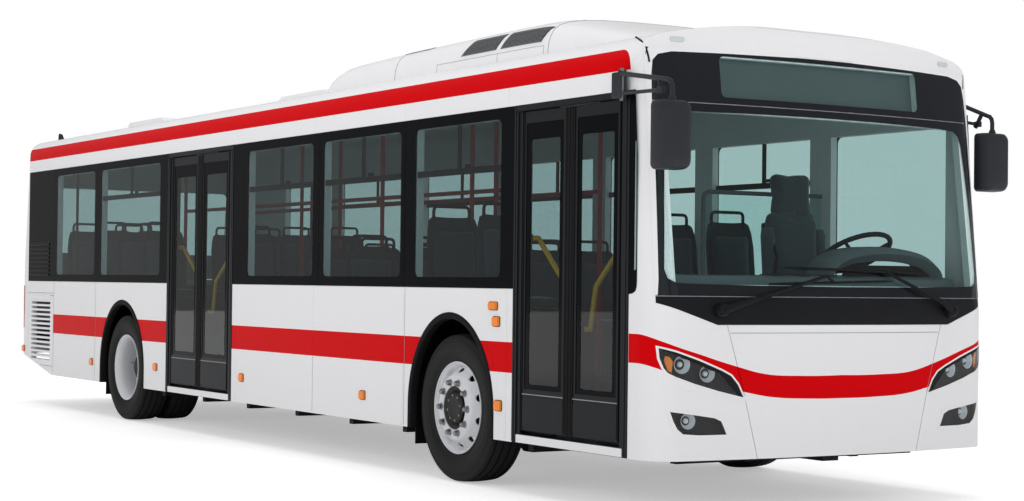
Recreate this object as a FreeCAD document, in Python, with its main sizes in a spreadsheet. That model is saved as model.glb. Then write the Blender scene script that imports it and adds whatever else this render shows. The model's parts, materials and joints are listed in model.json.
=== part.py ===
import FreeCAD, Part
import math
import os
import re
import Sketcher

# City bus, low floor between the axles, two inward-gliding double doors on the right.
# Millimetres and degrees. +X forward, +Y to the left, +Z up, origin on the ground below
# the middle of the bus. Places along the bus are counted from its two axles.

doc = FreeCAD.newDocument("CityBus")
sheet = doc.addObject("Spreadsheet::Sheet", "Sizes")

SIZES = (
    # alias, value, what it is
    ("front_axle_x", 3240, "front axle, ahead of the origin"),
    ("wheelbase", 6000, "front axle to rear axle"),
    ("front_overhang", 2290, "front axle to the middle of the front panel"),
    ("rear_overhang", 3000, "rear axle to the rear wall"),
    ("body_width", 2550, "over the side walls"),
    ("wall", 60, "side wall, front, rear and roof thickness"),
    ("pane", 8, "bonded glass and its rebate"),
    ("seam", 4, "gap between neighbouring panels and panes"),
    ("skirt_z", 315, "lower edge of the body"),
    ("cove_start", 2500, "where the side wall turns into the roof"),
    ("cove_radius", 200, "roof edge, outside"),
    ("roof_slope", 12, "roof's slope where it meets the cove"),
    ("front_arc", 8500, "plan radius of the front"),
    ("corner_radius", 190, "plan radius of the front corners, below"),
    ("corner_high", 66, "plan radius of the front corners at the top of the form"),
    ("tail_radius", 120, "plan radius of the rear corners"),
    ("screen_z", 1130, "height where the front begins to rake"),
    ("screen_rake", 7.2, "rake of the windscreen"),
    ("tail_lean_z", 1400, "height where the rear wall begins to lean"),
    ("tail_lean", 6, "lean of the upper rear wall"),
    ("roof_nose", 260, "side view radius of the roof's front edge"),
    ("roof_tail", 180, "side view radius of the roof's rear edge"),
    ("cap_seam", 1740, "front axle to the joint of roof and front cap"),
    ("roof_seam", 2600, "rear axle to the joint of roof and rear cap"),
    ("rear_seam", 2790, "rear axle to the joint of side wall and rear wall"),
    ("band_low", 1250, "lower edge of the black window band"),
    ("band_high", 2372, "upper edge of the window band"),
    ("sight_low", 1320, "lower edge of the clear window openings"),
    ("sight_high", 2300, "upper edge of the clear window openings"),
    ("floor_z", 370, "top of the low floor"),
    ("floor_thick", 45, "floor thickness"),
    ("podium_z", 570, "top of the seat podiums"),
    ("rear_floor_z", 780, "top of the rear floor"),
    ("rear_floor_x", 950, "rear axle to the front edge of the rear floor"),
    ("engine_bay_x", 1960, "rear axle to the engine bulkhead"),
    ("engine_bay_z", 1230, "top of the engine cover"),
    ("panel", 25, "interior sheet and board thickness"),
    ("tyre_radius", 478, "rolling radius of the tyre"),
    ("tyre_width", 276, "tyre section width"),
    ("rim_radius", 298, "rim flange radius"),
    ("disc_shoulder", 215, "where a wheel disc turns in to its flat face"),
    ("wheel_y", 1117, "middle of the outer wheels"),
    ("twin_gap", 310, "outer twin wheel to inner twin wheel"),
    ("kingpin_y", 960, "kingpin axis from the middle of the bus"),
    ("arch_radius", 568, "wheel arch opening"),
    ("arch_z", 520, "centre height of the wheel arch"),
    ("housing_half", 600, "half length of a wheel housing, inside"),
    ("housing_y", 620, "inner side of the wheel housings"),
    ("housing_z", 1100, "underside of the housing top"),
    ("door_low", 395, "lower edge of the door leaves"),
    ("door_high", 2325, "upper edge of the door leaves"),
    ("header_z", 2352, "underside of the door header"),
    ("post", 50, "door post width"),
    ("front_door_rear", 732, "front axle to the rear edge of the front doorway"),
    ("front_door_front", 1954, "front axle to the front edge of the front doorway"),
    ("rear_door_rear", 1063, "rear axle to the rear edge of the rear doorway"),
    ("rear_door_front", 2467, "rear axle to the front edge of the rear doorway"),
    ("leaf_inset", 6, "door leaf's outer face inside of the wall's"),
    ("leaf_thick", 40, "door leaf's inner face inside of the wall's outer face"),
    ("lip", 35, "fixed lip in front of a door column"),
    ("jamb_gap", 47, "door post to leaf"),
    ("leaf_gap", 8, "gap between the two leaves of a door"),
    ("column_in", 20, "door column ahead of the jamb"),
    ("column_depth", 70, "door column inside of the leaf's outer face"),
    ("column_radius", 14, "door column"),
    ("glide_in", 42, "how far the meeting edge glides in past the column's depth"),
    ("arm_thick", 12, "door arm thickness"),
    ("steer_arm", 200, "kingpin to tie rod pin"),
    ("tie_rod_z", 225, "height of the tie rod"),
    ("tow_z", 290, "height of the front towing eye"),
    ("tow_thick", 30, "towing eye thickness"),
    ("tow_radius", 20.5, "towing eye bore"),
    ("ring_radius", 230, "steering wheel, middle of its ring"),
    ("mirror_bar", 13, "mirror arm radius"),
    ("mirror_low", 1895, "lower edge of the mirror heads"),
    ("mirror_high", 2262, "upper edge of the mirror heads"),
    ("mirror_half", 85, "half width of a mirror head"),
    ("pole_radius", 17, "grab poles"),
    ("rail_radius", 16, "grab rails"),
    ("rail_z", 1950, "height of the long grab rails"),
    ("pole_y", 315, "grab poles from the middle of the aisle"),
    ("hinge", 7, "radius of the lids' hinge barrels"),
    ("running", 0.3, "clearance of pins and shafts"),
    ("mirror_y", 1450, "middle of the mirror heads"),
)
ALIASES = {row[0] for row in SIZES}

for line, (alias, size, note) in enumerate(SIZES, start=1):
    sheet.set(f"A{line}", note)
    sheet.set(f"B{line}", str(size))
    sheet.setAlias(f"B{line}", alias)
doc.recompute()

FRONT = "front_axle_x"
REAR = "(front_axle_x - wheelbase)"
NOSE = "(front_axle_x + front_overhang)"
TAIL = f"({REAR} - rear_overhang)"
SIDE = "(body_width / 2)"
INNER = f"({SIDE} - wall)"
CROWN_RADIUS = f"(({SIDE} - cove_radius + cove_radius * sin(roof_slope)) / sin(roof_slope))"
CROWN = (f"(cove_start + cove_radius * cos(roof_slope)"
         f" + {CROWN_RADIUS} * (1 - cos(roof_slope)))")
FRONT_SEAM = f"({FRONT} + front_door_front)"
REAR_SEAM = f"({REAR} - rear_seam)"
ROOF_SEAM = f"({REAR} - roof_seam)"
CAP_SEAM = f"({FRONT} + cap_seam)"
X_AXIS = FreeCAD.Vector(1, 0, 0)
Y_AXIS = FreeCAD.Vector(0, 1, 0)
Z_AXIS = FreeCAD.Vector(0, 0, 1)


# ---------------------------------------------------------------- helpers

def formula(text):
    """A formula of the sheet's names, as FreeCAD's expressions want it."""
    def prefix(match):
        word = match.group()
        return "Sizes." + word if word in ALIASES else word
    return re.sub(r"[a-z_][a-z_0-9]*", prefix, str(text))


def value(text):
    """The number that a formula of the sheet's names comes to."""
    return float(sheet.evalExpression(formula(text)))


def place(thing, x=0, y=0, z=0):
    """Binds an object's position to three formulas."""
    thing.setExpression("Placement.Base.x", formula(x))
    thing.setExpression("Placement.Base.y", formula(y))
    thing.setExpression("Placement.Base.z", formula(z))
    return thing


def block(name, x, y, z):
    """A box between two formulas on each axis."""
    box = doc.addObject("Part::Box", name)
    box.setExpression("Length", formula(f"({x[1]}) - ({x[0]})"))
    box.setExpression("Width", formula(f"({y[1]}) - ({y[0]})"))
    box.setExpression("Height", formula(f"({z[1]}) - ({z[0]})"))
    return place(box, x[0], y[0], z[0])


TURNS = {
    "x": FreeCAD.Rotation(Y_AXIS, 90),
    "y": FreeCAD.Rotation(X_AXIS, -90),
    "z": FreeCAD.Rotation(),
}


def rod(name, axis, low, high, centre, radius):
    """A cylinder along an axis from low to high; centre is on the two other axes in order."""
    cylinder = doc.addObject("Part::Cylinder", name)
    cylinder.Placement = FreeCAD.Placement(FreeCAD.Vector(), TURNS[axis])
    cylinder.setExpression("Radius", formula(radius))
    cylinder.setExpression("Height", formula(f"({high}) - ({low})"))
    spots = {
        "x": (low, centre[0], centre[1]),
        "y": (centre[0], low, centre[1]),
        "z": (centre[0], centre[1], low),
    }
    return place(cylinder, *spots[axis])


def cut(name, base, *tools):
    """The base less every tool."""
    for number, tool in enumerate(tools):
        step = doc.addObject("Part::Cut", f"{name}_cut{number}")
        step.Base = base
        step.Tool = tool
        base = step
    return base


def fuse(name, *shapes):
    """One solid of pieces that meet."""
    joined = doc.addObject("Part::MultiFuse", name)
    joined.Shapes = list(shapes)
    joined.Refine = True
    return joined


def common(name, *shapes):
    """What all the shapes share."""
    shared = doc.addObject("Part::MultiCommon", name)
    shared.Shapes = list(shapes)
    return shared


def group(name, *shapes):
    """Separate solids of one sub-part."""
    together = doc.addObject("Part::Compound", name)
    together.Links = list(shapes)
    return together


def mirrored(name, source):
    """The same piece on the other side of the bus."""
    twin = doc.addObject("Part::Mirroring", name)
    twin.Source = source
    twin.Normal = Y_AXIS
    return twin


def both_sides(name, source):
    """A piece and its mirror image."""
    return group(name, source, mirrored(name + "_twin", source))


def arc_between(start, end, radius):
    """The short arc from start to end, anticlockwise for a positive radius."""
    a = FreeCAD.Vector(*start, 0)
    b = FreeCAD.Vector(*end, 0)
    chord = b - a
    half = chord.Length / 2
    rise = math.sqrt(max(radius * radius - half * half, 0))
    left = FreeCAD.Vector(-chord.y, chord.x, 0).normalize()
    centre = (a + b) / 2 + left * (rise if radius > 0 else -rise)
    if radius < 0:
        a, b = b, a
    first = math.atan2(a.y - centre.y, a.x - centre.x)
    last = math.atan2(b.y - centre.y, b.x - centre.x)
    if last < first:
        last += 2 * math.pi
    return Part.ArcOfCircle(Part.Circle(centre, Z_AXIS, abs(radius)), first, last)


def draw(sketch, corners):
    """A closed outline. Each corner is (u, v) or (u, v, radius of the arc to the next one)."""
    spots = [(value(row[0]), value(row[1])) for row in corners]
    count = len(corners)
    starts = []
    for index, row in enumerate(corners):
        here, there = spots[index], spots[(index + 1) % count]
        bend = value(row[2]) if len(row) > 2 else 0
        if bend:
            edge = sketch.addGeometry(arc_between(here, there, bend))
            sketch.addConstraint(Sketcher.Constraint("Radius", edge, abs(bend)))
            sign = "" if bend > 0 else "-"
            last = sketch.ConstraintCount - 1
            sketch.setExpression(f"Constraints[{last}]", formula(f"{sign}({row[2]})"))
        else:
            line = Part.LineSegment(FreeCAD.Vector(*here, 0), FreeCAD.Vector(*there, 0))
            edge = sketch.addGeometry(line)
        starts.append((edge, 2 if bend < 0 else 1, 1 if bend < 0 else 2))
    for index, row in enumerate(corners):
        edge, first, _ = starts[index]
        before, _, last = starts[index - 1]
        sketch.addConstraint(Sketcher.Constraint("Coincident", before, last, edge, first))
        for kind, spot, text in zip(("DistanceX", "DistanceY"), spots[index], row):
            sketch.addConstraint(Sketcher.Constraint(kind, -1, 1, edge, first, spot))
            number = sketch.ConstraintCount - 1
            sketch.setExpression(f"Constraints[{number}]", formula(text))


def sketch_on(body, name, role, offset="0"):
    """A sketch on one of a body's own planes, moved along the plane's normal."""
    plane = next(item for item in body.Origin.OriginFeatures if item.Role == role)
    sketch = body.newObject("Sketcher::SketchObject", name)
    sketch.AttachmentSupport = [(plane, "")]
    sketch.MapMode = "FlatFace"
    sketch.setExpression("AttachmentOffset.Base.z", formula(offset))
    return sketch


def padded(name, role, corners, low, high):
    """An outline on XY, XZ or YZ, padded from low to high along the plane's axis."""
    body = doc.addObject("PartDesign::Body", name)
    offset = f"-({high})" if role == "XZ_Plane" else low
    sketch = sketch_on(body, name + "_outline", role, offset)
    draw(sketch, corners)
    pad = body.newObject("PartDesign::Pad", name + "_pad")
    pad.Profile = sketch
    pad.setExpression("Length", formula(f"({high}) - ({low})"))
    return body


def slanted(name, corners, low, high, shift):
    """A plan outline raised from low to high while it moves along X by shift per mm."""
    sketch = doc.addObject("Sketcher::SketchObject", name + "_plan")
    draw(sketch, corners)
    place(sketch, 0, 0, low)
    raised = doc.addObject("Part::Extrusion", name)
    raised.Base = sketch
    raised.DirMode = "Custom"
    raised.Dir = FreeCAD.Vector(value(shift), 0, 1)
    raised.setExpression("Dir.x", formula(shift))
    raised.setExpression("LengthFwd", formula(f"(({high}) - ({low})) * sqrt(1 + ({shift})^2)"))
    raised.Solid = True
    return raised


def lofted(name, low_corners, low, high_corners, high):
    """A ruled solid between two plan outlines at two heights."""
    plans = []
    for end, corners, level in (("low", low_corners, low), ("high", high_corners, high)):
        sketch = doc.addObject("Sketcher::SketchObject", f"{name}_plan_{end}")
        draw(sketch, corners)
        plans.append(place(sketch, 0, 0, level))
    loft = doc.addObject("Part::Loft", name)
    loft.Sections = plans
    loft.Solid = True
    loft.Ruled = True
    return loft


def revolved(name, corners):
    """An outline (distance from the axis, place along it) turned about the Y axis."""
    body = doc.addObject("PartDesign::Body", name)
    sketch = sketch_on(body, name + "_outline", "XY_Plane")
    draw(sketch, corners)
    turned = body.newObject("PartDesign::Revolution", name + "_turn")
    turned.Profile = sketch
    turned.ReferenceAxis = (sketch, ["V_Axis"])
    turned.Angle = 360
    return body


def rectangle(u, v):
    """The corners of a rectangle between two formulas each way."""
    return ((u[0], v[0]), (u[1], v[0]), (u[1], v[1]), (u[0], v[1]))


def copies(name, source, places):
    """Copies of one piece at a list of places, each three formulas from its own origin."""
    doc.recompute()
    row = doc.addObject("Part::Feature", name)
    shapes = []
    for x, y, z in places:
        shape = source.Shape.copy()
        shape.translate(FreeCAD.Vector(value(x), value(y), value(z)))
        shapes.append(shape)
    row.Shape = Part.makeCompound(shapes)
    return row


NODES = []


def node(label, thing):
    """Registers a finished sub-part; its label names its file."""
    thing.Label = label
    NODES.append(thing)
    return thing


# ---------------------------------------------------------------- the body's form

FRONT_CENTRE = f"({NOSE} - front_arc)"
FORM_TOP = f"({CROWN} + 100)"


def section_corners(inset, bottom):
    """The body's cross-section, looking along the bus."""
    side = f"({SIDE} - {inset})"
    bend_y = f"({SIDE} - cove_radius + (cove_radius - {inset}) * sin(roof_slope))"
    bend_z = f"(cove_start + (cove_radius - {inset}) * cos(roof_slope))"
    return (
        (f"-{side}", bottom),
        (side, bottom),
        (side, "cove_start", f"cove_radius - {inset}"),
        (bend_y, bend_z, f"{CROWN_RADIUS} - {inset}"),
        (f"-{bend_y}", bend_z, f"cove_radius - {inset}"),
        (f"-{side}", "cove_start"),
    )


def front_corners(inset, radius, shift):
    """The plan of the front: straight sides, round corners and a wide front arc."""
    side = f"({SIDE} - {inset})"
    corner_y = f"({SIDE} - {radius})"
    centre = f"({FRONT_CENTRE} - {shift})"
    run = f"sqrt((front_arc - {radius})^2 - {corner_y}^2)"
    share = f"((front_arc - {inset}) / (front_arc - {radius}))"
    bend_x = f"({centre} + {run} * {share})"
    bend_y = f"({corner_y} * {share})"
    back = f"({FRONT} + 1000)"
    corner_x = f"({centre} + {run})"
    return (
        (back, f"-{side}"),
        (corner_x, f"-{side}", f"{radius} - {inset}"),
        (bend_x, f"-{bend_y}", f"front_arc - {inset}"),
        (bend_x, bend_y, f"{radius} - {inset}"),
        (corner_x, side),
        (back, side),
    )


def tail_corners(inset):
    """The plan of the rear: a flat wall with round corners."""
    side = f"({SIDE} - {inset})"
    back = f"({TAIL} + {inset})"
    ahead = f"({TAIL} + tail_radius)"
    across = f"({SIDE} - tail_radius)"
    return (
        (f"{TAIL} + 1500", f"-{side}"),
        (f"{TAIL} + 1500", side),
        (ahead, side, f"tail_radius - {inset}"),
        (back, across),
        (back, f"-{across}", f"tail_radius - {inset}"),
        (ahead, f"-{side}"),
    )


def profile_corners(inset, bottom):
    """The side view: rounded roof edges and a chamfer under the tail."""
    rake = f"(tan(screen_rake) * ({CROWN} - roof_nose - screen_z))"
    lean = f"(tan(tail_lean) * ({CROWN} - roof_tail - tail_lean_z))"
    nose = f"({NOSE} - {rake} - {inset} + 15)"
    tail = f"({TAIL} + {lean} + {inset} - 10)"
    top = f"({CROWN} - {inset})"
    return (
        (f"{NOSE} + 200", bottom),
        (f"{NOSE} + 200", f"{top} - roof_nose - 20"),
        (nose, f"{top} - roof_nose", "roof_nose"),
        (f"{nose} - roof_nose", top),
        (f"{tail} + roof_tail", top, "roof_tail"),
        (tail, f"{top} - roof_tail"),
        (f"{TAIL} - 200", f"{top} - roof_tail - 20"),
        (f"{TAIL} - 200", f"{bottom} + 240"),
        (f"{TAIL} + 1000", bottom),
    )


def body_form(name, inset, bottom):
    """The body's outer form, moved in by an inset on every wall."""
    lean = "tan(tail_lean)"
    top = FORM_TOP
    low_front = front_corners(inset, "corner_radius", "0")
    high_front = front_corners(inset, "corner_high",
                               f"tan(screen_rake) * ({FORM_TOP} - screen_z)")
    parts = (
        slanted(name + "_front_low", low_front, bottom, "screen_z", "0"),
        lofted(name + "_front_high", low_front, "screen_z", high_front, top),
        block(name + "_middle", (f"{TAIL} + 900", f"{FRONT} + 1600"),
              (f"-({SIDE} - {inset})", f"{SIDE} - {inset}"), (bottom, top)),
        slanted(name + "_tail_low", tail_corners(inset), bottom, "tail_lean_z", "0"),
        slanted(name + "_tail_high", tail_corners(inset), "tail_lean_z", top, lean),
    )
    plan = fuse(name + "_plan_form", *parts)
    section = padded(name + "_section", "YZ_Plane", section_corners(inset, bottom),
                     f"{TAIL} - 100", f"{NOSE} + 100")
    profile = padded(name + "_profile", "XZ_Plane", profile_corners(inset, bottom),
                     f"-{SIDE} - 50", f"{SIDE} + 50")
    return common(name, plan, section, profile)


outer = body_form("outer", "0", "skirt_z")
inner = body_form("inner", "wall", "(skirt_z - 100)")
behind_glass = body_form("behind_glass", "pane", "(skirt_z - 100)")
shell = cut("shell", outer, inner)
skin = cut("skin", outer, behind_glass)


# ---------------------------------------------------------------- panels and windows

FAR = ("-2000", "2000")
HIGH = "3500"
RIGHT = ("-2000", "0")
DOORS = {
    # name: (rear edge, front edge) of the doorway
    "front": (f"{FRONT} + front_door_rear", f"{FRONT} + front_door_front"),
    "rear": (f"{REAR} + rear_door_rear", f"{REAR} + rear_door_front"),
}
PANES = {
    # name: (rear edge, front edge, rear and front border of the clear opening)
    "a": (f"{FRONT} - 662", f"{FRONT} + front_door_rear", 150, 155),
    "b": (f"{FRONT} - 1978", f"{FRONT} - 662", 80, 60),
    "c": (f"{REAR} + rear_door_front", f"{FRONT} - 1978", 290, 100),
    "d": (f"{REAR} - 700", f"{REAR} + rear_door_rear", 90, 185),
    "e": (f"{REAR} - 1960", f"{REAR} - 700", 70, 90),
    "vent": (f"{REAR} - 2775", f"{REAR} - 1960", 0, 0),
    "driver": (f"{FRONT} + front_door_rear", f"{FRONT} + front_door_front", 60, 80),
    "middle": (f"{REAR} + rear_door_rear", f"{REAR} + rear_door_front", 60, 60),
}
SIDES = {
    # side: panes, doorways, whether it carries the radiator flap
    "right": (("a", "b", "c", "d", "e", "vent"), ("front", "rear"), True),
    "left": (("a", "b", "c", "d", "e", "driver", "middle", "vent"), (), False),
}


def side_panes(side, names):
    """The flush panes of one side wall."""
    across = ("-2000", "0") if side == "right" else ("0", "2000")
    panes = []
    for name in names:
        rear, front, _, _ = PANES[name]
        panes.append(block(f"pane_{side}_{name}", (f"{rear} + seam / 2", f"{front} - seam / 2"),
                           across, ("band_low + seam / 2", "band_high - seam / 2")))
    return common(f"panes_{side}", skin, fuse(f"pane_zone_{side}", *panes))


def side_wall(side, names, doorways, has_flap):
    """One side wall with its rebates, openings, doorways and wheel arches."""
    across = ("-2000", "0") if side == "right" else ("0", "2000")
    outside = ("-2000", f"-{INNER}") if side == "right" else (INNER, "2000")
    zone = block(f"zone_{side}", (REAR_SEAM, FRONT_SEAM), outside, ("0", "cove_start"))
    wall = common(f"wall_{side}", shell, zone)
    rear_edge = PANES["vent"][0]
    front_edge = PANES["driver" if "driver" in names else "a"][1]
    band = block(f"band_{side}", (rear_edge, front_edge), across, ("band_low", "band_high"))
    tools = [common(f"rebate_{side}", skin, band)]
    for name in names:
        rear, front, low, high = PANES[name]
        if name == "vent":
            continue
        tools.append(block(f"sight_{side}_{name}", (f"{rear} + {low}", f"{front} - {high}"),
                           across, ("sight_low", "sight_high")))
    for name in doorways:
        tools.append(block(f"doorway_{side}_{name}", DOORS[name], across, ("0", "band_high")))
    for name, axle in (("front", FRONT), ("rear", REAR)):
        low, high = ("-2000", "0") if side == "right" else ("0", "2000")
        tools.append(rod(f"arch_{side}_{name}", "y", low, high, (axle, "arch_z"), "arch_radius"))
        tools.append(block(f"arch_foot_{side}_{name}",
                           (f"{axle} - arch_radius", f"{axle} + arch_radius"),
                           across, ("0", "arch_z")))
    if has_flap:
        tools.append(block("flap_hole", FLAP_X, across, FLAP_Z))
    for number, joint in enumerate(WALL_JOINTS):
        tools.append(block(f"joint_{side}_{number}", (f"{joint} - 1", f"{joint} + 1"), across,
                           ("0", "cove_start")))
    return cut(f"side_{side}", wall, *tools)


# Joints between the sheets of the side walls, each behind a window pillar.
WALL_JOINTS = (
    f"{REAR} - 1967",
    f"{REAR} - 764",
    f"{REAR} + 990",
    f"{REAR} + 2550",
    f"{FRONT} - 2050",
    f"{FRONT} - 667",
    f"{FRONT} + 660",
)
FLAP_X = (f"{REAR} - 2760", f"{REAR} - 1980")
FLAP_Z = ("400", "1110")
side_walls = {}
for side, (names, doorways, has_flap) in SIDES.items():
    side_walls[side] = side_wall(side, names, doorways, has_flap)
    node(f"side_wall_{side}", side_walls[side])
    node(f"side_windows_{side}", side_panes(side, names))

node("roof_panel", common("roof_zone", shell, block(
    "roof_box", (ROOF_SEAM, CAP_SEAM), FAR, ("cove_start", HIGH))))

# The front: surround and cap, windscreen, sign glass, centre panel and two corner panels.
SCREEN_HIGH = "2312"
SIGN_HIGH = "2615"


def screen_outline(name, margin, low, high):
    """The windscreen's outline seen from the front, moved in by a margin."""
    half = f"({SIDE} - 45 - {margin})"
    base = f"({SIDE} - 400)"
    corners = (
        (f"-{base}", f"{low} + {margin}"),
        (base, f"{low} + {margin}"),
        (half, f"{low} + 120 + {margin}"),
        (half, f"{high} - {margin}"),
        (f"-{half}", f"{high} - {margin}"),
        (f"-{half}", f"{low} + 120 + {margin}"),
    )
    return padded(name, "YZ_Plane", corners, f"{FRONT} + 1700", f"{NOSE} + 200")


front_zone = fuse("front_zone",
                  block("front_zone_sides", (FRONT_SEAM, f"{NOSE} + 100"), FAR,
                        ("0", "cove_start")),
                  block("front_zone_inside", (CAP_SEAM, f"{NOSE} + 100"),
                        (f"-{INNER}", INNER), ("0", "cove_start")),
                  block("front_zone_cap", (CAP_SEAM, f"{NOSE} + 100"), FAR,
                        ("cove_start", HIGH)))
front_shell = common("front_shell", shell, front_zone)
COWL_LOW = "1065"
SCREEN_LOW = "1224"
screen_hole = screen_outline("screen_hole", "0", COWL_LOW, SIGN_HIGH)
screen_sight = padded("screen_sight", "YZ_Plane",
                      rectangle((f"-{SIDE} + 150", f"{SIDE} - 150"), ("1290", "2262")),
                      f"{FRONT} + 1700", f"{NOSE} + 200")
sign_sight = padded("sign_sight", "YZ_Plane",
                    rectangle(("-760", "760"), ("2350", "2580")),
                    f"{FRONT} + 1700", f"{NOSE} + 200")
bumper_zone = padded("bumper_zone", "YZ_Plane", (
    ("-1300", "0"),
    ("1300", "0"),
    ("1300", f"{COWL_LOW} + 120"),
    (f"{SIDE} - 45", f"{COWL_LOW} + 120"),
    (f"{SIDE} - 400", COWL_LOW),
    (f"-({SIDE} - 400)", COWL_LOW),
    (f"-({SIDE} - 45)", f"{COWL_LOW} + 120"),
    ("-1300", f"{COWL_LOW} + 120"),
), f"{FRONT} + 1700", f"{NOSE} + 200")
split_outline = (
    ("-600", "0"),
    ("600", "0"),
    ("600", "skirt_z"),
    ("700", "700"),
    ("880", "1300"),
    ("-880", "1300"),
    ("-700", "700"),
    ("-600", "skirt_z"),
)
centre_zone = padded("centre_zone", "YZ_Plane", split_outline,
                     f"{FRONT} + 1700", f"{NOSE} + 200")
node("front_mask", cut("mask", front_shell, screen_sight, sign_sight, bumper_zone,
                       common("screen_rebate", skin, screen_hole)))
bumper = common("bumper", front_shell, bumper_zone)


def lamp(name, corners):
    """A front lamp's prism through the right corner panel and the panel's hole for it."""
    return padded(name, "YZ_Plane", corners, f"{FRONT_SEAM} + 10", f"{NOSE} + 200")


HEADLAMP = (("-1225", "740"), ("-1010", "700"), ("-690", "640"), ("-860", "810"), ("-1225", "945"))
FOG_LAMP = (("-1130", "440"), ("-800", "440"), ("-840", "550"), ("-1180", "600"))


def shrunk(corners, margin):
    """An outline pulled towards its middle by a margin in each direction."""
    middle_u = sum(value(u) for u, _ in corners) / len(corners)
    middle_v = sum(value(v) for _, v in corners) / len(corners)
    pulled = []
    for u, v in corners:
        du = margin if value(u) < middle_u else -margin
        dv = margin if value(v) < middle_v else -margin
        pulled.append((f"{u} + {du}", f"{v} + {dv}"))
    return tuple(pulled)


lamp_floor = body_form("lamp_floor", "(wall - 12)", "(skirt_z - 100)")
tubs = []
lenses = []
lamp_holes = []
for lamp_name, lamp_corners in (("headlamp", HEADLAMP), ("fog_lamp", FOG_LAMP)):
    lamp_holes.append(lamp(f"{lamp_name}_hole", lamp_corners))
    whole = lamp(f"{lamp_name}_body", shrunk(lamp_corners, 0.5))
    hollow = lamp(f"{lamp_name}_hollow", shrunk(lamp_corners, 8))
    tub = common(f"{lamp_name}_tub", shell, whole)
    tubs.append(cut(f"{lamp_name}_bowl", tub, skin,
                    cut(f"{lamp_name}_inside", hollow, lamp_floor)))
    lenses.append(common(f"{lamp_name}_lens", skin, whole))
node("front_lamps", both_sides("front_lamps_pair", group("lamp_tubs", *tubs)))
node("lamp_lenses", both_sides("lamp_lenses_pair", group("lamp_glasses", *lenses)))
centre_panel = common("centre_panel", bumper, centre_zone)
node("front_panel", centre_panel)
corner_zone = padded("corner_zone", "YZ_Plane", (
    ("-1300", "0"),
    ("-600 - seam", "0"),
    ("-600 - seam", "skirt_z"),
    ("-700 - seam", "700"),
    ("-880 - seam", "1300"),
    ("-1300", "1300"),
), f"{FRONT} + 1700", f"{NOSE} + 200")
corner_panel = cut("corner_panel", common("corner_blank", bumper, corner_zone), *lamp_holes)
node("front_corner_panels", both_sides("front_corners", corner_panel))
pane_zone = screen_outline("screen_pane_zone", "seam / 2", COWL_LOW, SIGN_HIGH)
front_panes = []
for pane_name, low, high in (("screen", SCREEN_LOW, SCREEN_HIGH),
                             ("sign", SCREEN_HIGH, SIGN_HIGH)):
    level = block(f"{pane_name}_level", (f"{FRONT} + 1700", f"{NOSE} + 200"), FAR,
                  (f"{low} + seam / 2", f"{high} - seam / 2"))
    front_panes.append(common(f"{pane_name}_pane", skin, pane_zone, level))
node("front_glass", group("front_panes", *front_panes))
cowl_level = block("cowl_level", (f"{FRONT} + 1700", f"{NOSE} + 200"), FAR,
                   (COWL_LOW, f"{SCREEN_LOW} - seam / 2"))
node("wiper_panel", common("wiper_panel_skin", skin, pane_zone, cowl_level))

# The rear: wall, window, lamps and the engine door.
ENGINE_DOOR_Y = "880"
ENGINE_DOOR_Z = ("470", "1290")
REAR_WINDOW_Y = "1050"
REAR_WINDOW_Z = ("1480", "2300")
tail_zone = fuse("tail_zone",
                 block("tail_wall_zone", (f"{TAIL} - 100", REAR_SEAM), FAR, ("0", HIGH)),
                 block("tail_cap_zone", (f"{TAIL} - 100", ROOF_SEAM), FAR,
                       ("cove_start", HIGH)))
tail_shell = common("tail_shell", shell, tail_zone)
tail_skin = common("tail_skin", skin, tail_zone)


def on_tail(name, across, up):
    """A box through the rear wall."""
    return block(name, (f"{TAIL} - 100", f"{TAIL} + 400"), across, up)


tail_lamp = on_tail("tail_lamp_zone", ("-1235", "-1050"), ("760", "1210"))
tail_lamps = common("tail_lamp_lens", tail_skin, tail_lamp)
node("tail_lamps", both_sides("tail_lamp_pair", tail_lamps))
rear_pane = common("rear_pane", tail_skin, on_tail(
    "rear_pane_zone", (f"-{REAR_WINDOW_Y} + seam / 2", f"{REAR_WINDOW_Y} - seam / 2"),
    (f"{REAR_WINDOW_Z[0]} + seam / 2", f"{REAR_WINDOW_Z[1]} - seam / 2")))
node("rear_window", rear_pane)
tail_lamp_seat = on_tail("tail_lamp_seat", ("-1238", "-1047"), ("757", "1213"))
node("rear_wall", cut(
    "tail_wall", tail_shell,
    common("rear_rebate", tail_skin, on_tail("rear_rebate_zone", (
        f"-{REAR_WINDOW_Y}", REAR_WINDOW_Y), REAR_WINDOW_Z)),
    on_tail("rear_sight", (f"-{REAR_WINDOW_Y} + 70", f"{REAR_WINDOW_Y} - 70"),
            (f"{REAR_WINDOW_Z[0]} + 70", f"{REAR_WINDOW_Z[1]} - 70")),
    both_sides("lamp_seats", common("lamp_seat", tail_skin, tail_lamp_seat)),
    on_tail("engine_hole", (f"-{ENGINE_DOOR_Y}", ENGINE_DOOR_Y), ENGINE_DOOR_Z)))
engine_leaf = common("engine_leaf", tail_shell, on_tail(
    "engine_leaf_zone", (f"-{ENGINE_DOOR_Y} + seam", f"{ENGINE_DOOR_Y} - seam"),
    (f"{ENGINE_DOOR_Z[0]} + seam", f"{ENGINE_DOOR_Z[1]} - seam")))
louvres = []
for number in range(8):
    low = f"{ENGINE_DOOR_Z[0]} + 120 + {number} * 45"
    louvres.append(on_tail(f"engine_louvre{number}", ("-600", "600"), (low, f"{low} + 20")))
engine_hinge = fuse(
    "engine_hinge",
    rod("engine_barrel", "y", "-700", "700",
        (f"{TAIL} - hinge - running", f"{ENGINE_DOOR_Z[1]}"), "hinge"),
    block("engine_hinge_leaf", (f"{TAIL} - hinge - 4 - running", f"{TAIL} + 5"),
          ("-700", "700"), (f"{ENGINE_DOOR_Z[1]} - 60", f"{ENGINE_DOOR_Z[1]} - 5")))
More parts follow.
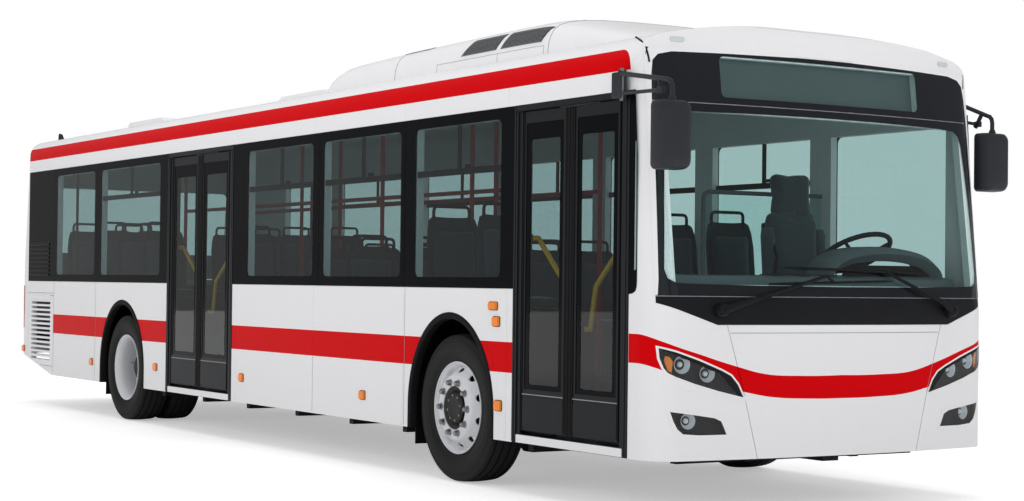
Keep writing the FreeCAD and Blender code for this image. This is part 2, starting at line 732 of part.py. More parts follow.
node("engine_door", fuse("engine_lid_whole", cut("engine_lid_open", engine_leaf, *louvres),
                         engine_hinge))

flap_leaf = common("flap_leaf", shell, block(
    "flap_zone", (f"{FLAP_X[0]} + seam", f"{FLAP_X[1]} - seam"), RIGHT,
    (f"{FLAP_Z[0]} + seam", f"{FLAP_Z[1]} - seam")))
flap_slots = []
for number in range(13):
    low = f"460 + {number} * 46.5"
    flap_slots.append(block(f"flap_slot{number}", (f"{FLAP_X[0]} + 100", f"{FLAP_X[1]} - 80"),
                            RIGHT, (low, f"{low} + 26")))
flap_hinge = fuse(
    "flap_hinge",
    rod("flap_barrel", "x", f"{FLAP_X[0]} + 60", f"{FLAP_X[1]} - 60",
        (f"-{SIDE} - hinge - running", FLAP_Z[1]), "hinge"),
    block("flap_hinge_leaf", (f"{FLAP_X[0]} + 60", f"{FLAP_X[1]} - 60"),
          (f"-{SIDE} - hinge - 4 - running", f"-{SIDE} + 5"),
          (f"{FLAP_Z[1]} - 40", f"{FLAP_Z[1]} - 5")))
node("radiator_flap", fuse("flap_whole", cut("flap_open", flap_leaf, *flap_slots), flap_hinge))

# ---------------------------------------------------------------- floor and inner boards

FLOOR = ("floor_z - floor_thick", "floor_z")
REAR_STEP = f"{REAR} + rear_floor_x"
inner_y = (f"-{INNER}", INNER)


def housing_zone(name, axle, grow):
    """The space of the right wheel housing, grown on every side."""
    return block(name, (f"{axle} - housing_half - {grow}", f"{axle} + housing_half + {grow}"),
                 (f"-{INNER}", f"-housing_y + {grow}"), ("0", f"housing_z + {grow}"))


def housing(name, axle, foot):
    """One right wheel housing, open below and towards the wheel arch."""
    inside = block(name + "_inside", (f"{axle} - housing_half", f"{axle} + housing_half"),
                   (f"-{INNER} - 5", "-housing_y"), ("0", "housing_z"))
    low = block(name + "_cut", (f"{axle} - 1000", f"{axle} + 1000"), RIGHT, ("0", foot))
    return cut(name + "_shell", housing_zone(name + "_outside", axle, "panel"), inside, low)


node("wheel_housings", both_sides("housing_sides", group(
    "housings_right", housing("housing_front", FRONT, FLOOR[0]),
    housing("housing_rear", REAR, "rear_floor_z - floor_thick"))))
holes = []
for name, axle in (("front", FRONT), ("rear", REAR)):
    holes.append(both_sides(f"hole_{name}", housing_zone(f"hole_zone_{name}", axle, "panel")))

low_floor = block("low_floor", (REAR_STEP, f"{FRONT} + 2030"), inner_y, FLOOR)
rear_deck = block("rear_deck", (f"{REAR} - engine_bay_x", REAR_STEP), inner_y,
                  ("rear_floor_z - floor_thick", "rear_floor_z"))
riser = block("riser", (f"{REAR_STEP} - floor_thick", REAR_STEP), inner_y,
              ("floor_z - floor_thick", "rear_floor_z"))
step_hole = block("step_hole", (f"{REAR_STEP} - 300", REAR_STEP), ("-350", "350"),
                  ("floor_z", "rear_floor_z"))
step = block("step", (f"{REAR_STEP} - 300", REAR_STEP), ("-350", "350"),
             ("floor_z - floor_thick", "(floor_z + rear_floor_z) / 2"))
step_riser = block("step_riser", (f"{REAR_STEP} - 300 - floor_thick", f"{REAR_STEP} - 300"),
                   ("-350", "350"), ("floor_z - floor_thick", "rear_floor_z"))
podium_x = (f"{REAR} + rear_door_front + 250", f"{FRONT} - housing_half - panel")
podium_right = block("podium_right", podium_x, (f"-{INNER}", "-430"), ("floor_z", "podium_z"))
podium_left = block("podium_left", (REAR_STEP, podium_x[1]), ("430", INNER),
                    ("floor_z", "podium_z"))
cab_floor = block("cab_floor", (f"{FRONT} + housing_half + panel", f"{FRONT} + 2030"),
                  ("150", INNER), ("floor_z", "floor_z + 250"))
bulkhead = block("bulkhead", (f"{REAR} - engine_bay_x - floor_thick", f"{REAR} - engine_bay_x"),
                 inner_y, ("rear_floor_z - floor_thick", "engine_bay_z"))
engine_lid = block("engine_lid", (f"{TAIL} + wall + 1", f"{REAR} - engine_bay_x"),
                   ("-1150", "1150"), ("engine_bay_z - floor_thick", "engine_bay_z"))
deck = fuse("deck", low_floor, riser, rear_deck, bulkhead, engine_lid)
deck = cut("deck_open", deck, step_hole)
deck = fuse("deck_whole", deck, step, step_riser, podium_right, podium_left, cab_floor)
node("floor", cut("floor_cut", deck, *holes))

# ---------------------------------------------------------------- doors

LEAF_Z = ("door_low", "door_high")


class Doorway:
    """The places of one doorway's frame, leaves and columns, from its two edges."""

    def __init__(self, name):
        self.name = name
        self.rear, self.front = DOORS[name]
        self.clear = f"(({self.front}) - ({self.rear}) - 2 * post)"
        self.leaf = f"(({self.clear} - leaf_gap) / 2 - jamb_gap)"
        self.reach = f"((jamb_gap + {self.leaf} + glide_in - column_in) / 2)"

    def jamb(self, hinge):
        """The jamb's place and the way from it to the doorway's middle."""
        if hinge == "rear":
            return f"({self.rear} + post)", 1
        return f"({self.front} - post)", -1


def along(jamb, way, distance):
    """A place at a distance from the jamb towards the doorway's middle."""
    return f"({jamb} + {way} * ({distance}))"


def span(jamb, way, near, far):
    """A stretch from near to far of the jamb, in rising order."""
    ends = (along(jamb, way, near), along(jamb, way, far))
    return ends if way > 0 else (ends[1], ends[0])


def depth(distance):
    """A place inwards of the right side wall's outer face."""
    return f"(-{SIDE} + {distance})"


def door_frame(door):
    """Posts, header and sill of one doorway, in the thickness of the wall."""
    across = (depth("0"), depth("wall"))
    outline = block(f"{door.name}_surround", (f"{door.rear} + 1", f"{door.front} - 1"),
                    across, ("skirt_z", "band_high"))
    clear = block(f"{door.name}_clear", (f"{door.rear} + post", f"{door.front} - post"),
                  (depth("-10"), depth("wall + 10")), ("floor_z", "header_z"))
    operator = block(f"{door.name}_operator", (f"{door.rear} - 80", f"{door.front} - 20"),
                     (depth("wall"), depth("wall + 130")), ("header_z", "header_z + 125"))
    lips = []
    for hinge in ("front", "rear"):
        jamb, way = door.jamb(hinge)
        lips.append(block(f"{door.name}_lip_{hinge}", span(jamb, way, "-1", "lip"),
                          (depth("4"), depth("30")), ("floor_z - 1", "header_z + 1")))
    return fuse(f"{door.name}_frame_whole", cut(f"{door.name}_door_frame", outline, clear),
                operator, *lips)


def door_leaf(door, hinge):
    """One leaf: stiles and rails round the pane, kick panel, handrail and pivot lugs."""
    jamb, way = door.jamb(hinge)
    tag = f"{door.name}_{hinge}"
    near, far = "jamb_gap", f"jamb_gap + {door.leaf}"
    plate = block(f"{tag}_plate", span(jamb, way, near, far), (depth("leaf_inset"), depth("leaf_thick")),
                  LEAF_Z)
    pane = (span(jamb, way, f"{near} + 30", f"{far} - 70"), ("door_low + 250", "door_high - 70"))
    window = block(f"{tag}_window", pane[0], (depth("-5"), depth("leaf_thick + 5")), pane[1])
    pieces = [cut(f"{tag}_rim", plate, window)]
    pivot = along(jamb, way, f"{door.reach} + column_in")
    for end, low, high in (("low", "door_low", "door_low + 10"),
                           ("high", "door_high - 10", "door_high")):
        pieces.append(block(f"{tag}_lug_{end}",
                            (f"{pivot} - 22", f"{pivot} + 22"),
                            (depth("leaf_thick - 1"), depth("column_depth + 20")), (low, high)))
    for end, low, high in (("low", "door_low - arm_thick - 6", "door_low + 5"),
                           ("high", "door_high - 5", "door_high + arm_thick + 6")):
        pieces.append(rod(f"{tag}_pin_{end}", "z", low, high,
                          (pivot, depth("column_depth")), "9"))
    rail_depth = depth("leaf_thick + 50")
    top = (along(jamb, way, f"{near} + 43"), "1560")
    elbow = (along(jamb, way, f"{far} - 150"), "1270")
    foot = (along(jamb, way, f"{far} - 95"), "1020")
    pieces.append(strut(f"{tag}_rail_top", (top[0], rail_depth, top[1]),
                        (elbow[0], rail_depth, elbow[1]), "16"))
    pieces.append(strut(f"{tag}_rail_foot", (elbow[0], rail_depth, elbow[1]),
                        (foot[0], rail_depth, foot[1]), "16"))
    pieces.append(ball(f"{tag}_rail_elbow", (elbow[0], rail_depth, elbow[1]), "16"))
    pieces.append(block(f"{tag}_rail_tab", span(jamb, way, f"{near} + 18", f"{near} + 58"),
                        (depth("leaf_thick - 10"), depth("leaf_thick")), ("1535", "1585")))
    for end, spot in (("top", top), ("foot", foot)):
        pieces.append(rod(f"{tag}_rail_{end}_foot", "y", depth("leaf_thick - 1"), rail_depth,
                          spot, "16"))
        pieces.append(ball(f"{tag}_rail_{end}_bend", (spot[0], rail_depth, spot[1]), "16"))
    glass = block(f"{tag}_glass_pane", (f"{pane[0][0]} + running", f"{pane[0][1]} - running"),
                  (depth("12"), depth("18")),
                  (f"{pane[1][0]} + running", f"{pane[1][1]} - running"))
    return fuse(f"{tag}_leaf", *pieces), glass


def door_column(door, hinge):
    """The turning column behind a jamb with its two arms, bored for the leaf's pins."""
    jamb, way = door.jamb(hinge)
    tag = f"{door.name}_{hinge}"
    centre = (along(jamb, way, "column_in"), depth("column_depth"))
    pivot = along(jamb, way, f"{door.reach} + column_in")
    pieces = [rod(f"{tag}_shaft", "z", "floor_z + running",
                  "header_z - running", centre, "column_radius")]
    holes = []
    for end, low in (("low", "door_low - arm_thick - 5"), ("high", "door_high + 5")):
        high = f"{low} + arm_thick"
        pieces.append(block(f"{tag}_arm_{end}",
                            span(jamb, way, "column_in", f"{door.reach} + column_in"),
                            (depth("column_depth - 24"), depth("column_depth + 24")),
                            (low, high)))
        pieces.append(rod(f"{tag}_arm_eye_{end}", "z", low, high,
                          (pivot, depth("column_depth")), "24"))
        holes.append(rod(f"{tag}_eye_hole_{end}", "z", f"{low} - 1", f"{high} + 1",
                         (pivot, depth("column_depth")), "9 + running"))
    return cut(f"{tag}_column", fuse(f"{tag}_column_blank", *pieces), *holes)


def strut(name, start, end, radius):
    """A round bar between two points, each three formulas."""
    a = FreeCAD.Vector(*(value(text) for text in start))
    b = FreeCAD.Vector(*(value(text) for text in end))
    bar = doc.addObject("Part::Cylinder", name)
    bar.setExpression("Radius", formula(radius))
    bar.Height = (b - a).Length
    bar.Placement = FreeCAD.Placement(a, FreeCAD.Rotation(Z_AXIS, b - a))
    return bar


def ball(name, centre, radius):
    """The round joint where two bars of one radius meet."""
    sphere = doc.addObject("Part::Sphere", name)
    sphere.setExpression("Radius", formula(radius))
    return place(sphere, *centre)


frames = []
for door_name in DOORS:
    doorway = Doorway(door_name)
    frames.append(door_frame(doorway))
    for hinge in ("front", "rear"):
        leaf, leaf_glass = door_leaf(doorway, hinge)
        node(f"{door_name}_door_leaf_{hinge}", leaf)
        node(f"{door_name}_door_glass_{hinge}", leaf_glass)
        node(f"{door_name}_door_column_{hinge}", door_column(doorway, hinge))
node("door_frames", group("door_frame_pair", *frames))

# ---------------------------------------------------------------- wheels and axles


def tyre(name):
    """One tyre about the Y axis, its middle at the origin."""
    half = "tyre_width / 2"
    return revolved(name, (
        ("rim_radius - 13 + running", f"-{half} + 46"),
        ("rim_radius + 3", f"-{half} + 35"),
        ("(rim_radius + tyre_radius) / 2 + 10", f"-{half}"),
        ("tyre_radius - 34", f"-{half} + 12"),
        ("tyre_radius", f"-{half} + 40"),
        ("tyre_radius", f"{half} - 40"),
        ("tyre_radius - 34", f"{half} - 12"),
        ("(rim_radius + tyre_radius) / 2 + 10", half),
        ("rim_radius + 3", f"{half} - 35"),
        ("rim_radius - 13 + running", f"{half} - 46"),
    ))


def rim(name, disc):
    """A drop-centre rim; disc is where its disc meets the barrel and its hub face."""
    half = "(tyre_width / 2 - 30)"
    edge, face = disc
    blank = revolved(name, (
        ("rim_radius", f"-{half} - 6"),
        ("rim_radius", f"-{half} + 4"),
        ("rim_radius - 13", f"-{half} + 14"),
        ("rim_radius - 13", f"{half} - 14"),
        ("rim_radius", f"{half} - 4"),
        ("rim_radius", f"{half} + 6"),
        ("rim_radius - 24", f"{half} + 6"),
        ("rim_radius - 24", f"{edge} + 14"),
        ("disc_shoulder", f"{face} + 12"),
        ("141", f"{face} + 12"),
        ("141", face),
        ("disc_shoulder - 8", face),
        ("rim_radius - 24", edge),
        ("rim_radius - 24", f"-{half} - 6"),
    ))
    return blank


def hand_holes(name, low, high):
    """The ring of ten holes in a wheel's disc."""
    holes = []
    for number in range(10):
        angle = f"{number} * 36"
        holes.append(rod(f"{name}{number}", "y", low, high,
                         (f"240 * cos({angle})", f"240 * sin({angle})"), "24"))
    return holes


def at(name, shape, x, y, z):
    """A piece made about the origin, set at its place."""
    set_there = group(name, shape)
    return place(set_there, x, y, z)


front_disc = ("tyre_width / 2 - 90", "tyre_width / 2 - 10")
front_rim = cut("front_rim", rim("front_rim_blank", front_disc),
                *hand_holes("front_hole", "20", "tyre_width"))
front_hub = revolved("front_hub", (
    ("36", "-60"),
    ("180", "-60"),
    ("180", "-20"),
    ("130", "-20"),
    ("130", f"{front_disc[1]} - 14"),
    ("170", f"{front_disc[1]} - 14"),
    ("170", front_disc[1]),
    ("120", front_disc[1]),
    ("85", f"{front_disc[1]} + 8"),
    ("0", f"{front_disc[1]} + 8"),
    ("0", f"{front_disc[1]} - 4"),
    ("36", f"{front_disc[1]} - 4"),
))
front_wheel = fuse("front_wheel", front_rim, front_hub)
rear_disc = ("-60", "-twin_gap / 2")
rear_blank = rim("rear_rim_blank", rear_disc)
rear_outer = cut("rear_outer_rim", rear_blank,
                 *hand_holes("rear_hole", "-twin_gap / 2 - 20", "0"))
rear_inner = at("rear_inner_rim", mirrored("rear_inner_turned", rear_blank),
                "0", "-twin_gap", "0")
rear_hub = revolved("rear_hub", (
    ("0", "-twin_gap / 2 - 110"),
    ("205", "-twin_gap / 2 - 110"),
    ("205", "-twin_gap / 2 - 30"),
    ("141", "-twin_gap / 2 - 12"),
    ("141", "-twin_gap / 2 + 40"),
    ("115", "-twin_gap / 2 + 60"),
    ("105", "10"),
    ("60", "30"),
    ("0", "30"),
))
rear_wheel = fuse("rear_wheel", rear_outer, rear_inner, rear_hub)
tyre_master = tyre("tyre_master")
twin_tyre = at("twin_tyre", tyre_master, "0", "-twin_gap", "0")
rear_tyres = group("rear_tyres", tyre_master, twin_tyre)

for wheel_name, tyre_name, wheel, rubber, axle in (
        ("front_wheel", "front_tyre", front_wheel, tyre_master, FRONT),
        ("rear_wheel", "rear_tyres", rear_wheel, rear_tyres, REAR)):
    for label, thing in ((wheel_name, wheel), (tyre_name, rubber)):
        left = at(f"{label}_at_left", thing, axle, "wheel_y", "tyre_radius")
        node(f"{label}_left", left)
        node(f"{label}_right", mirrored(f"{label}_at_right", left))

# Front axle: a dropped beam, forked knuckles on kingpins, steering arms and a tie rod.
beam = padded("beam", "YZ_Plane", (
    ("-kingpin_y", "400"),
    ("-kingpin_y + 60", "400"),
    ("-housing_y - 70", "175"),
    ("housing_y + 70", "175"),
    ("kingpin_y - 60", "400"),
    ("kingpin_y", "400"),
    ("kingpin_y", "500"),
    ("kingpin_y - 100", "500"),
    ("housing_y - 10", "250"),
    ("-housing_y + 10", "250"),
    ("-kingpin_y + 100", "500"),
    ("-kingpin_y", "500"),
), f"{FRONT} - 55", f"{FRONT} + 55")
beam_parts = [beam]
kingpin_holes = []
for number, side_y in enumerate(("-kingpin_y", "kingpin_y")):
    beam_parts.append(rod(f"beam_eye{number}", "z", "400", "500", (FRONT, side_y), "55"))
    kingpin_holes.append(rod(f"kingpin_hole{number}", "z", "390", "510", (FRONT, side_y),
                             "20 + running"))
trim = both_sides("beam_trim", block("beam_trim_right", (f"{FRONT} - 80", f"{FRONT} + 80"),
                                     ("-kingpin_y - 100", "-kingpin_y + 0"), ("380", "520")))
spring_seat = block("spring_seat", (f"{FRONT} - 75", f"{FRONT} + 75"), ("670", "820"),
                    ("300", "470"))
eyes = fuse("beam_eyes", cut("beam_body", beam, trim), both_sides("spring_seats", spring_seat),
            *beam_parts[1:])
node("front_axle", cut("front_axle", eyes, *kingpin_holes))

knuckle_parts = (
    rod("kingpin", "z", "360", "540", (FRONT, "kingpin_y"), "20"),
    rod("ear_low", "z", "362", "399", (FRONT, "kingpin_y"), "50"),
    rod("ear_high", "z", "501", "538", (FRONT, "kingpin_y"), "50"),
    block("ear_low_web", (f"{FRONT} - 45", f"{FRONT} + 45"), ("kingpin_y", "wheel_y - 75"),
          ("362", "399")),
    block("ear_high_web", (f"{FRONT} - 45", f"{FRONT} + 45"), ("kingpin_y", "wheel_y - 75"),
          ("501", "538")),
    block("knuckle_plate", (f"{FRONT} - 60", f"{FRONT} + 60"), ("wheel_y - 85", "wheel_y - 62"),
          ("362", "580")),
    rod("spindle", "y", "wheel_y - 70", f"wheel_y + {front_disc[1]} - 6", (FRONT, "tyre_radius"),
        "36 - running"),
    block("steering_arm", (f"{FRONT} - steer_arm - 20", f"{FRONT} - 20"),
          ("kingpin_y - 18", "kingpin_y + 18"), ("362", "384")),
    rod("steering_pin", "z", "tie_rod_z - 22", "370", (f"{FRONT} - steer_arm", "kingpin_y"), "14"),
)
knuckle = fuse("knuckle", *knuckle_parts)
node("knuckle_left", knuckle)
node("knuckle_right", mirrored("knuckle_mirrored", knuckle))
tie_parts = [rod("tie_bar", "y", "-kingpin_y + 10", "kingpin_y - 10",
                 (f"{FRONT} - steer_arm", "tie_rod_z"), "18")]
tie_holes = []
for number, side_y in enumerate(("-kingpin_y", "kingpin_y")):
    spot = (f"{FRONT} - steer_arm", side_y)
    tie_parts.append(rod(f"tie_eye{number}", "z", "tie_rod_z - 20", "tie_rod_z + 20", spot, "26"))
    tie_holes.append(rod(f"tie_hole{number}", "z", "tie_rod_z - 30", "tie_rod_z + 30", spot,
                         "14 + running"))
node("tie_rod", cut("tie_rod", fuse("tie_blank", *tie_parts), *tie_holes))

# Rear axle, air springs, frame and engine.
axle_end = "wheel_y - twin_gap / 2 - 110 - running"
saddle = block("saddle", (f"{REAR} - 460", f"{REAR} + 460"), ("480", "560"), ("400", "478"))
differential = place(revolved("differential", (
    ("0", "-150"), ("120", "-150"), ("200", "-70"), ("200", "70"), ("120", "150"), ("0", "150"))),
    REAR, "0", "tyre_radius")
node("rear_axle", fuse("rear_axle",
                       rod("axle_tube", "y", f"-({axle_end})", axle_end, (REAR, "tyre_radius"), "75"),
                       differential, both_sides("saddles", saddle)))
springs = (
    rod("spring_ahead", "z", "478 + running", "rear_floor_z - floor_thick - running",
        (f"{REAR} + 350", "520"), "95"),
    rod("spring_behind", "z", "478 + running", "rear_floor_z - floor_thick - running",
        (f"{REAR} - 350", "520"), "95"),
    rod("spring_front", "z", "470 + running", "700", (FRONT, "745"), "75"),
    rod("spring_tower", "z", "700 + running", "housing_z - running", (FRONT, "745"), "50"),
)
node("air_springs", both_sides("air_springs_pair", group("springs_left", *springs)))

rail_low = ("floor_z - floor_thick - 60", "floor_z - floor_thick - running")
rail_high = ("rear_floor_z - floor_thick - 120", "rear_floor_z - floor_thick - running")
frame_side = [
    block("rail_front", (f"{REAR} + 800", f"{FRONT} + 1950"), ("375", "435"), rail_low),
    block("rail_rear", (f"{TAIL} + 90", f"{REAR} + 890"), ("352", "412"), rail_high),
    block("rail_post", (f"{REAR} + 800", f"{REAR} + 890"), ("352", "412"),
          (rail_low[0], rail_high[1])),
]
crosses = []
for number, (where, reach, level) in enumerate((
        (f"{REAR} + 800", f"{INNER} - 20", rail_low),
        (f"{REAR} + 1700", f"{INNER} - 20", rail_low),
        (f"{REAR} + 2600", f"{INNER} - 20", rail_low),
        (f"{REAR} + 3500", f"{INNER} - 20", rail_low),
        (f"{REAR} + 4400", f"{INNER} - 20", rail_low),
        (f"{REAR} + 5200", f"{INNER} - 20", rail_low),
        (f"{REAR} + 5700", "435", rail_low),
        (f"{REAR} + 6300", "435", rail_low),
        (f"{REAR} + 6800", f"{INNER} - 20", rail_low),
        (f"{REAR} + 7850", "900", rail_low),
        (f"{REAR} - 720", f"{INNER} - 20", rail_high),
        (f"{REAR} - 1500", f"{INNER} - 20", rail_high),
        (f"{REAR} + 640", f"{INNER} - 20", rail_high),
        (f"{TAIL} + 90", f"{INNER} - 40", rail_high))):
    crosses.append(block(f"cross{number}", (where, f"{where} + 60"), (f"-({reach})", reach),
                         level))
tow_plate = block("tow_plate", (f"{FRONT} + 1850", f"{NOSE} - 95"), ("-60", "60"),
                  ("tow_z - tow_thick / 2", "tow_z + tow_thick / 2"))
tow_hole = rod("tow_hole", "z", "tow_z - 50", "tow_z + 50", (f"{NOSE} - 150", "0"), "tow_radius")
frame_right = fuse("frame_left", *frame_side)
frame = fuse("frame", frame_right, mirrored("frame_right", frame_right), *crosses,
             cut("tow_eye", tow_plate, tow_hole))
step_room = block("step_room", (f"{REAR_STEP} - 350", f"{REAR_STEP}"), ("-351", "351"),
                  ("floor_z - floor_thick", HIGH))
node("chassis_frame", cut("frame_open", frame, step_room))
node("engine_block", block("engine", (f"{TAIL} + 200", f"{REAR} - engine_bay_x - 80"),
                           ("-352 + running", "352 - running"), ("430", "1140")))
flap = block("mudflap_front", (f"{FRONT} - housing_half", f"{FRONT} - housing_half + 10"),
             (f"-{INNER} + 5", "-housing_y - 300"), ("200", "700"))
rear_flap = block("mudflap_rear", (f"{REAR} - housing_half", f"{REAR} - housing_half + 10"),
                  (f"-{INNER} + 5", "-housing_y - 20"), ("200", "rear_floor_z"))
node("mudflaps", both_sides("mudflap_sides", group("mudflaps_right", flap, rear_flap)))


def arch_trim(name, axle):
    """The rubber flare round one right wheel arch, outside of the wall."""
    across = (f"-{SIDE} - 12", f"-{SIDE}")
    grown = fuse(name + "_outside",
                 rod(name + "_ring", "y", *across, (axle, "arch_z"), "arch_radius + 34"),
                 block(name + "_legs", (f"{axle} - arch_radius - 34", f"{axle} + arch_radius + 34"),
                       across, ("skirt_z", "arch_z")))
    gone = fuse(name + "_inside",
                rod(name + "_hole", "y", f"-{SIDE} - 20", f"-{SIDE} + 10", (axle, "arch_z"),
                    "arch_radius"),
                block(name + "_foot", (f"{axle} - arch_radius", f"{axle} + arch_radius"),
                      (f"-{SIDE} - 20", f"-{SIDE} + 10"), ("0", "arch_z")),
                block(name + "_under", (f"{axle} - 1000", f"{axle} + 1000"),
                      (f"-{SIDE} - 20", f"-{SIDE} + 10"), ("-500", "skirt_z")))
    return cut(name, grown, gone)


node("wheel_arch_trims", both_sides("trim_sides", group(
    "trims_right", arch_trim("trim_front", FRONT), arch_trim("trim_rear", REAR))))


# ---------------------------------------------------------------- on the roof and outside

on_roof = padded("roof_top", "YZ_Plane", section_corners("-running", "(skirt_z - 100)"),
                 f"{TAIL} - 100", f"{NOSE} + 100")


def seated(name, shape):
    """A piece cut to the curve of the roof it sits on."""
    return cut(name, shape, on_roof)


unit_side = padded("unit_side", "XZ_Plane", (
    (f"{FRONT} - 2580", "2650"),
    (f"{FRONT} + 1400", "2650"),
    (f"{FRONT} + 1400", "2860"),
    (f"{FRONT} + 1150", "2990"),
    (f"{FRONT} + 750", "3060"),
    (f"{FRONT} - 1400", "3040"),
    (f"{FRONT} - 1430", "3020"),
    (f"{FRONT} - 2250", "3010"),
    (f"{FRONT} - 2500", "2880"),
), "-1000", "1000")
unit_section = padded("unit_section", "YZ_Plane", (
    ("-950", "2600"),
    ("950", "2600"),
    ("900", "2880"),
    ("780", "3000", "1200"),
    ("300", "3080"),
    ("-300", "3080", "1200"),
    ("-780", "3000"),
    ("-900", "2880"),
), f"{FRONT} - 2700", f"{FRONT} + 1500")
node("air_conditioner", seated("cooler", common("cooler_form", unit_side, unit_section)))


def hatch(name, x, half, top):
    """A roof hatch lid, a low bevelled box across the roof's middle."""
    return seated(name, padded(name + "_side", "XZ_Plane", (
        (f"{x} - {half}", "2700"),
        (f"{x} + {half}", "2700"),
        (f"{x} + {half}", f"{top} - 30"),
        (f"{x} + {half} - 60", top),
        (f"{x} - {half} + 60", top),
        (f"{x} - {half}", f"{top} - 30"),
    ), "-480", "480"))


node("roof_hatches", group("hatches",
                           hatch("hatch_middle", f"({FRONT} - 3950)", "480", f"{CROWN} + 55"),
                           hatch("hatch_rear", f"({REAR} - 1600)", "480", f"{CROWN} + 70")))

MIRRORS = (
    # side, sign, x of the arm's bend and of the head
    ("right", -1, f"({FRONT} + 2480)"),
    ("left", 1, f"({FRONT} + 2110)"),
)
MOUNT_X = f"({FRONT} + 1800)"
mirror_sets = []
for side, way, head_x in MIRRORS:
    edge = f"({way} * {SIDE})"
    out = f"({way} * mirror_y)"
    outer_y = f"({way} * ({SIDE} + 35))"
    pieces = [block(f"mirror_{side}_mount", (f"{MOUNT_X} - 35", f"{MOUNT_X} + 35"),
                    (edge, outer_y) if way > 0 else (outer_y, edge), ("2380", "2470"))]
    for number, (arm_z, drop_x) in enumerate((("2450", "0"), ("2395", "30"))):
        start = (MOUNT_X, f"({way} * ({SIDE} + 25))", arm_z)
        bend = (f"{head_x} - {drop_x}", out, f"{arm_z} - 40")
        pieces.append(strut(f"mirror_{side}_arm{number}", start, bend, "mirror_bar"))
        pieces.append(ball(f"mirror_{side}_ball{number}", bend, "mirror_bar"))
    pieces.append(rod(f"mirror_{side}_drop", "z", "mirror_high - 22", "2410",
                      (head_x, out), "mirror_bar"))
    pieces.append(rod(f"mirror_{side}_link", "x", f"{head_x} - 30", head_x,
                      (out, "2355"), "mirror_bar"))
    corners = []
    for u, v in ((-1, "mirror_low + 40"), (-0.5, "mirror_low"), (0.5, "mirror_low"),
                 (1, "mirror_low + 40"), (1, "mirror_high - 40"), (0.5, "mirror_high"),
                 (-0.5, "mirror_high"), (-1, "mirror_high - 40")):
        corners.append((f"{out} + {u} * mirror_half", v))
    pieces.append(padded(f"mirror_{side}_head", "YZ_Plane", corners,
                         f"{head_x} - 50", f"{head_x} + 50"))
    mirror_sets.append(fuse(f"mirror_{side}", *pieces))
node("mirrors", group("mirror_pair", *mirror_sets))


def screen_x(y, z, off):
    """A place ahead of the raked and curved windscreen, at a height and a side place."""
    return (f"({FRONT_CENTRE} + sqrt(front_arc^2 - ({y})^2)"
            f" - tan(screen_rake) * ({z} - screen_z) + {off})")


def wiper(name, pivot, tip, heel, toe):
    """One wiper: spindle, arm and blade, each end a place (y, z) on the screen."""
    def on_screen(spot, off):
        return (screen_x(*spot, off), *spot)
    return fuse(name,
                strut(name + "_arm", on_screen(pivot, "34"), on_screen(tip, "26"), "8"),
                strut(name + "_blade", on_screen(heel, "26"), on_screen(toe, "26"), "7"),
                strut(name + "_spindle", on_screen(pivot, "3"), on_screen(pivot, "42"), "16"))


node("wipers", group("wiper_pair",
                     wiper("wiper_right", ("-880", "1150"), ("-130", "1345"),
                           ("-520", "1300"), ("400", "1320")),
                     wiper("wiper_left", ("880", "1150"), ("330", "1375"),
                           ("-400", "1392"), ("640", "1368"))))

# ---------------------------------------------------------------- inside

CAB_FLOOR = "(floor_z + 250)"
STEER_X = f"({FRONT} + 1590)"
STEER_Y = "720"
STEER_Z = "1500"
WHEEL_LEAN = 30


def on_column(down):
    """A place on the steering column's line, a distance below the wheel."""
    return (f"{STEER_X} + {down} * sin({WHEEL_LEAN})", STEER_Y,
            f"{STEER_Z} - {down} * cos({WHEEL_LEAN})")


column_tube = strut("column_tube", on_column("31"), on_column("420"), "40")
node("dashboard", fuse("dashboard_whole", column_tube,
                       block("dash_left", (f"{FRONT} + 1780", f"{FRONT} + 2090"),
                             ("-400", "1130"), (CAB_FLOOR, "1360")),
                       block("dash_right", (f"{FRONT} + 2050", f"{FRONT} + 2090"),
                             ("-1050", "-400"), ("1000", "1360")),
                       block("cowl", (f"{FRONT} + 1740", f"{FRONT} + 1990"), ("430", "1080"),
                             ("1360", "1520"))))
column_line = FreeCAD.Vector(-math.sin(math.radians(WHEEL_LEAN)), 0,
                             math.cos(math.radians(WHEEL_LEAN)))
wheel_ring = revolved("wheel_ring", (
    ("ring_radius - 8", "-14"), ("ring_radius + 8", "-14"), ("ring_radius + 15", "0"),
    ("ring_radius + 8", "14"), ("ring_radius - 8", "14"), ("ring_radius - 15", "0")))
wheel_ring.Placement = FreeCAD.Placement(FreeCAD.Vector(), FreeCAD.Rotation(Y_AXIS, column_line))
spokes = []
for number in range(3):
    turn = math.radians(90 + 120 * number)
    lean = math.radians(WHEEL_LEAN)
    tip = (f"ring_radius * {math.cos(turn) * math.cos(lean)}",
           f"ring_radius * {math.sin(turn)}",
           f"ring_radius * {math.cos(turn) * math.sin(lean)}")
    spokes.append(strut(f"spoke{number}", ("0", "0", "0"), tip, "12"))
boss = strut("wheel_boss", (f"30 * sin({WHEEL_LEAN})", "0", f"-30 * cos({WHEEL_LEAN})"),
             (f"-25 * sin({WHEEL_LEAN})", "0", f"25 * cos({WHEEL_LEAN})"), "55")
node("steering_wheel", at("steering_wheel_set", fuse("steering_wheel_whole", wheel_ring, boss, *spokes),
                          STEER_X, STEER_Y, STEER_Z))


def seat(name, width):
    """A seat at the origin: its back's foot at x 0, facing +X, cushion top at 450."""
    half = f"{width} / 2"
    back = padded(name + "_back", "XZ_Plane", (
        ("0", "400"), ("60", "400"), ("10", "960"), ("-45", "980"), ("-60", "900")),
        f"-{half}", half)
    return [back,
             padded(name + "_cushion", "XZ_Plane", (
                 ("0", "370"), ("400", "390"), ("420", "430"), ("390", "455"), ("30", "430")),
                 f"-{half}", half),
             block(name + "_leg", ("120", "260"), ("-60", "60"), ("0", "400"))]


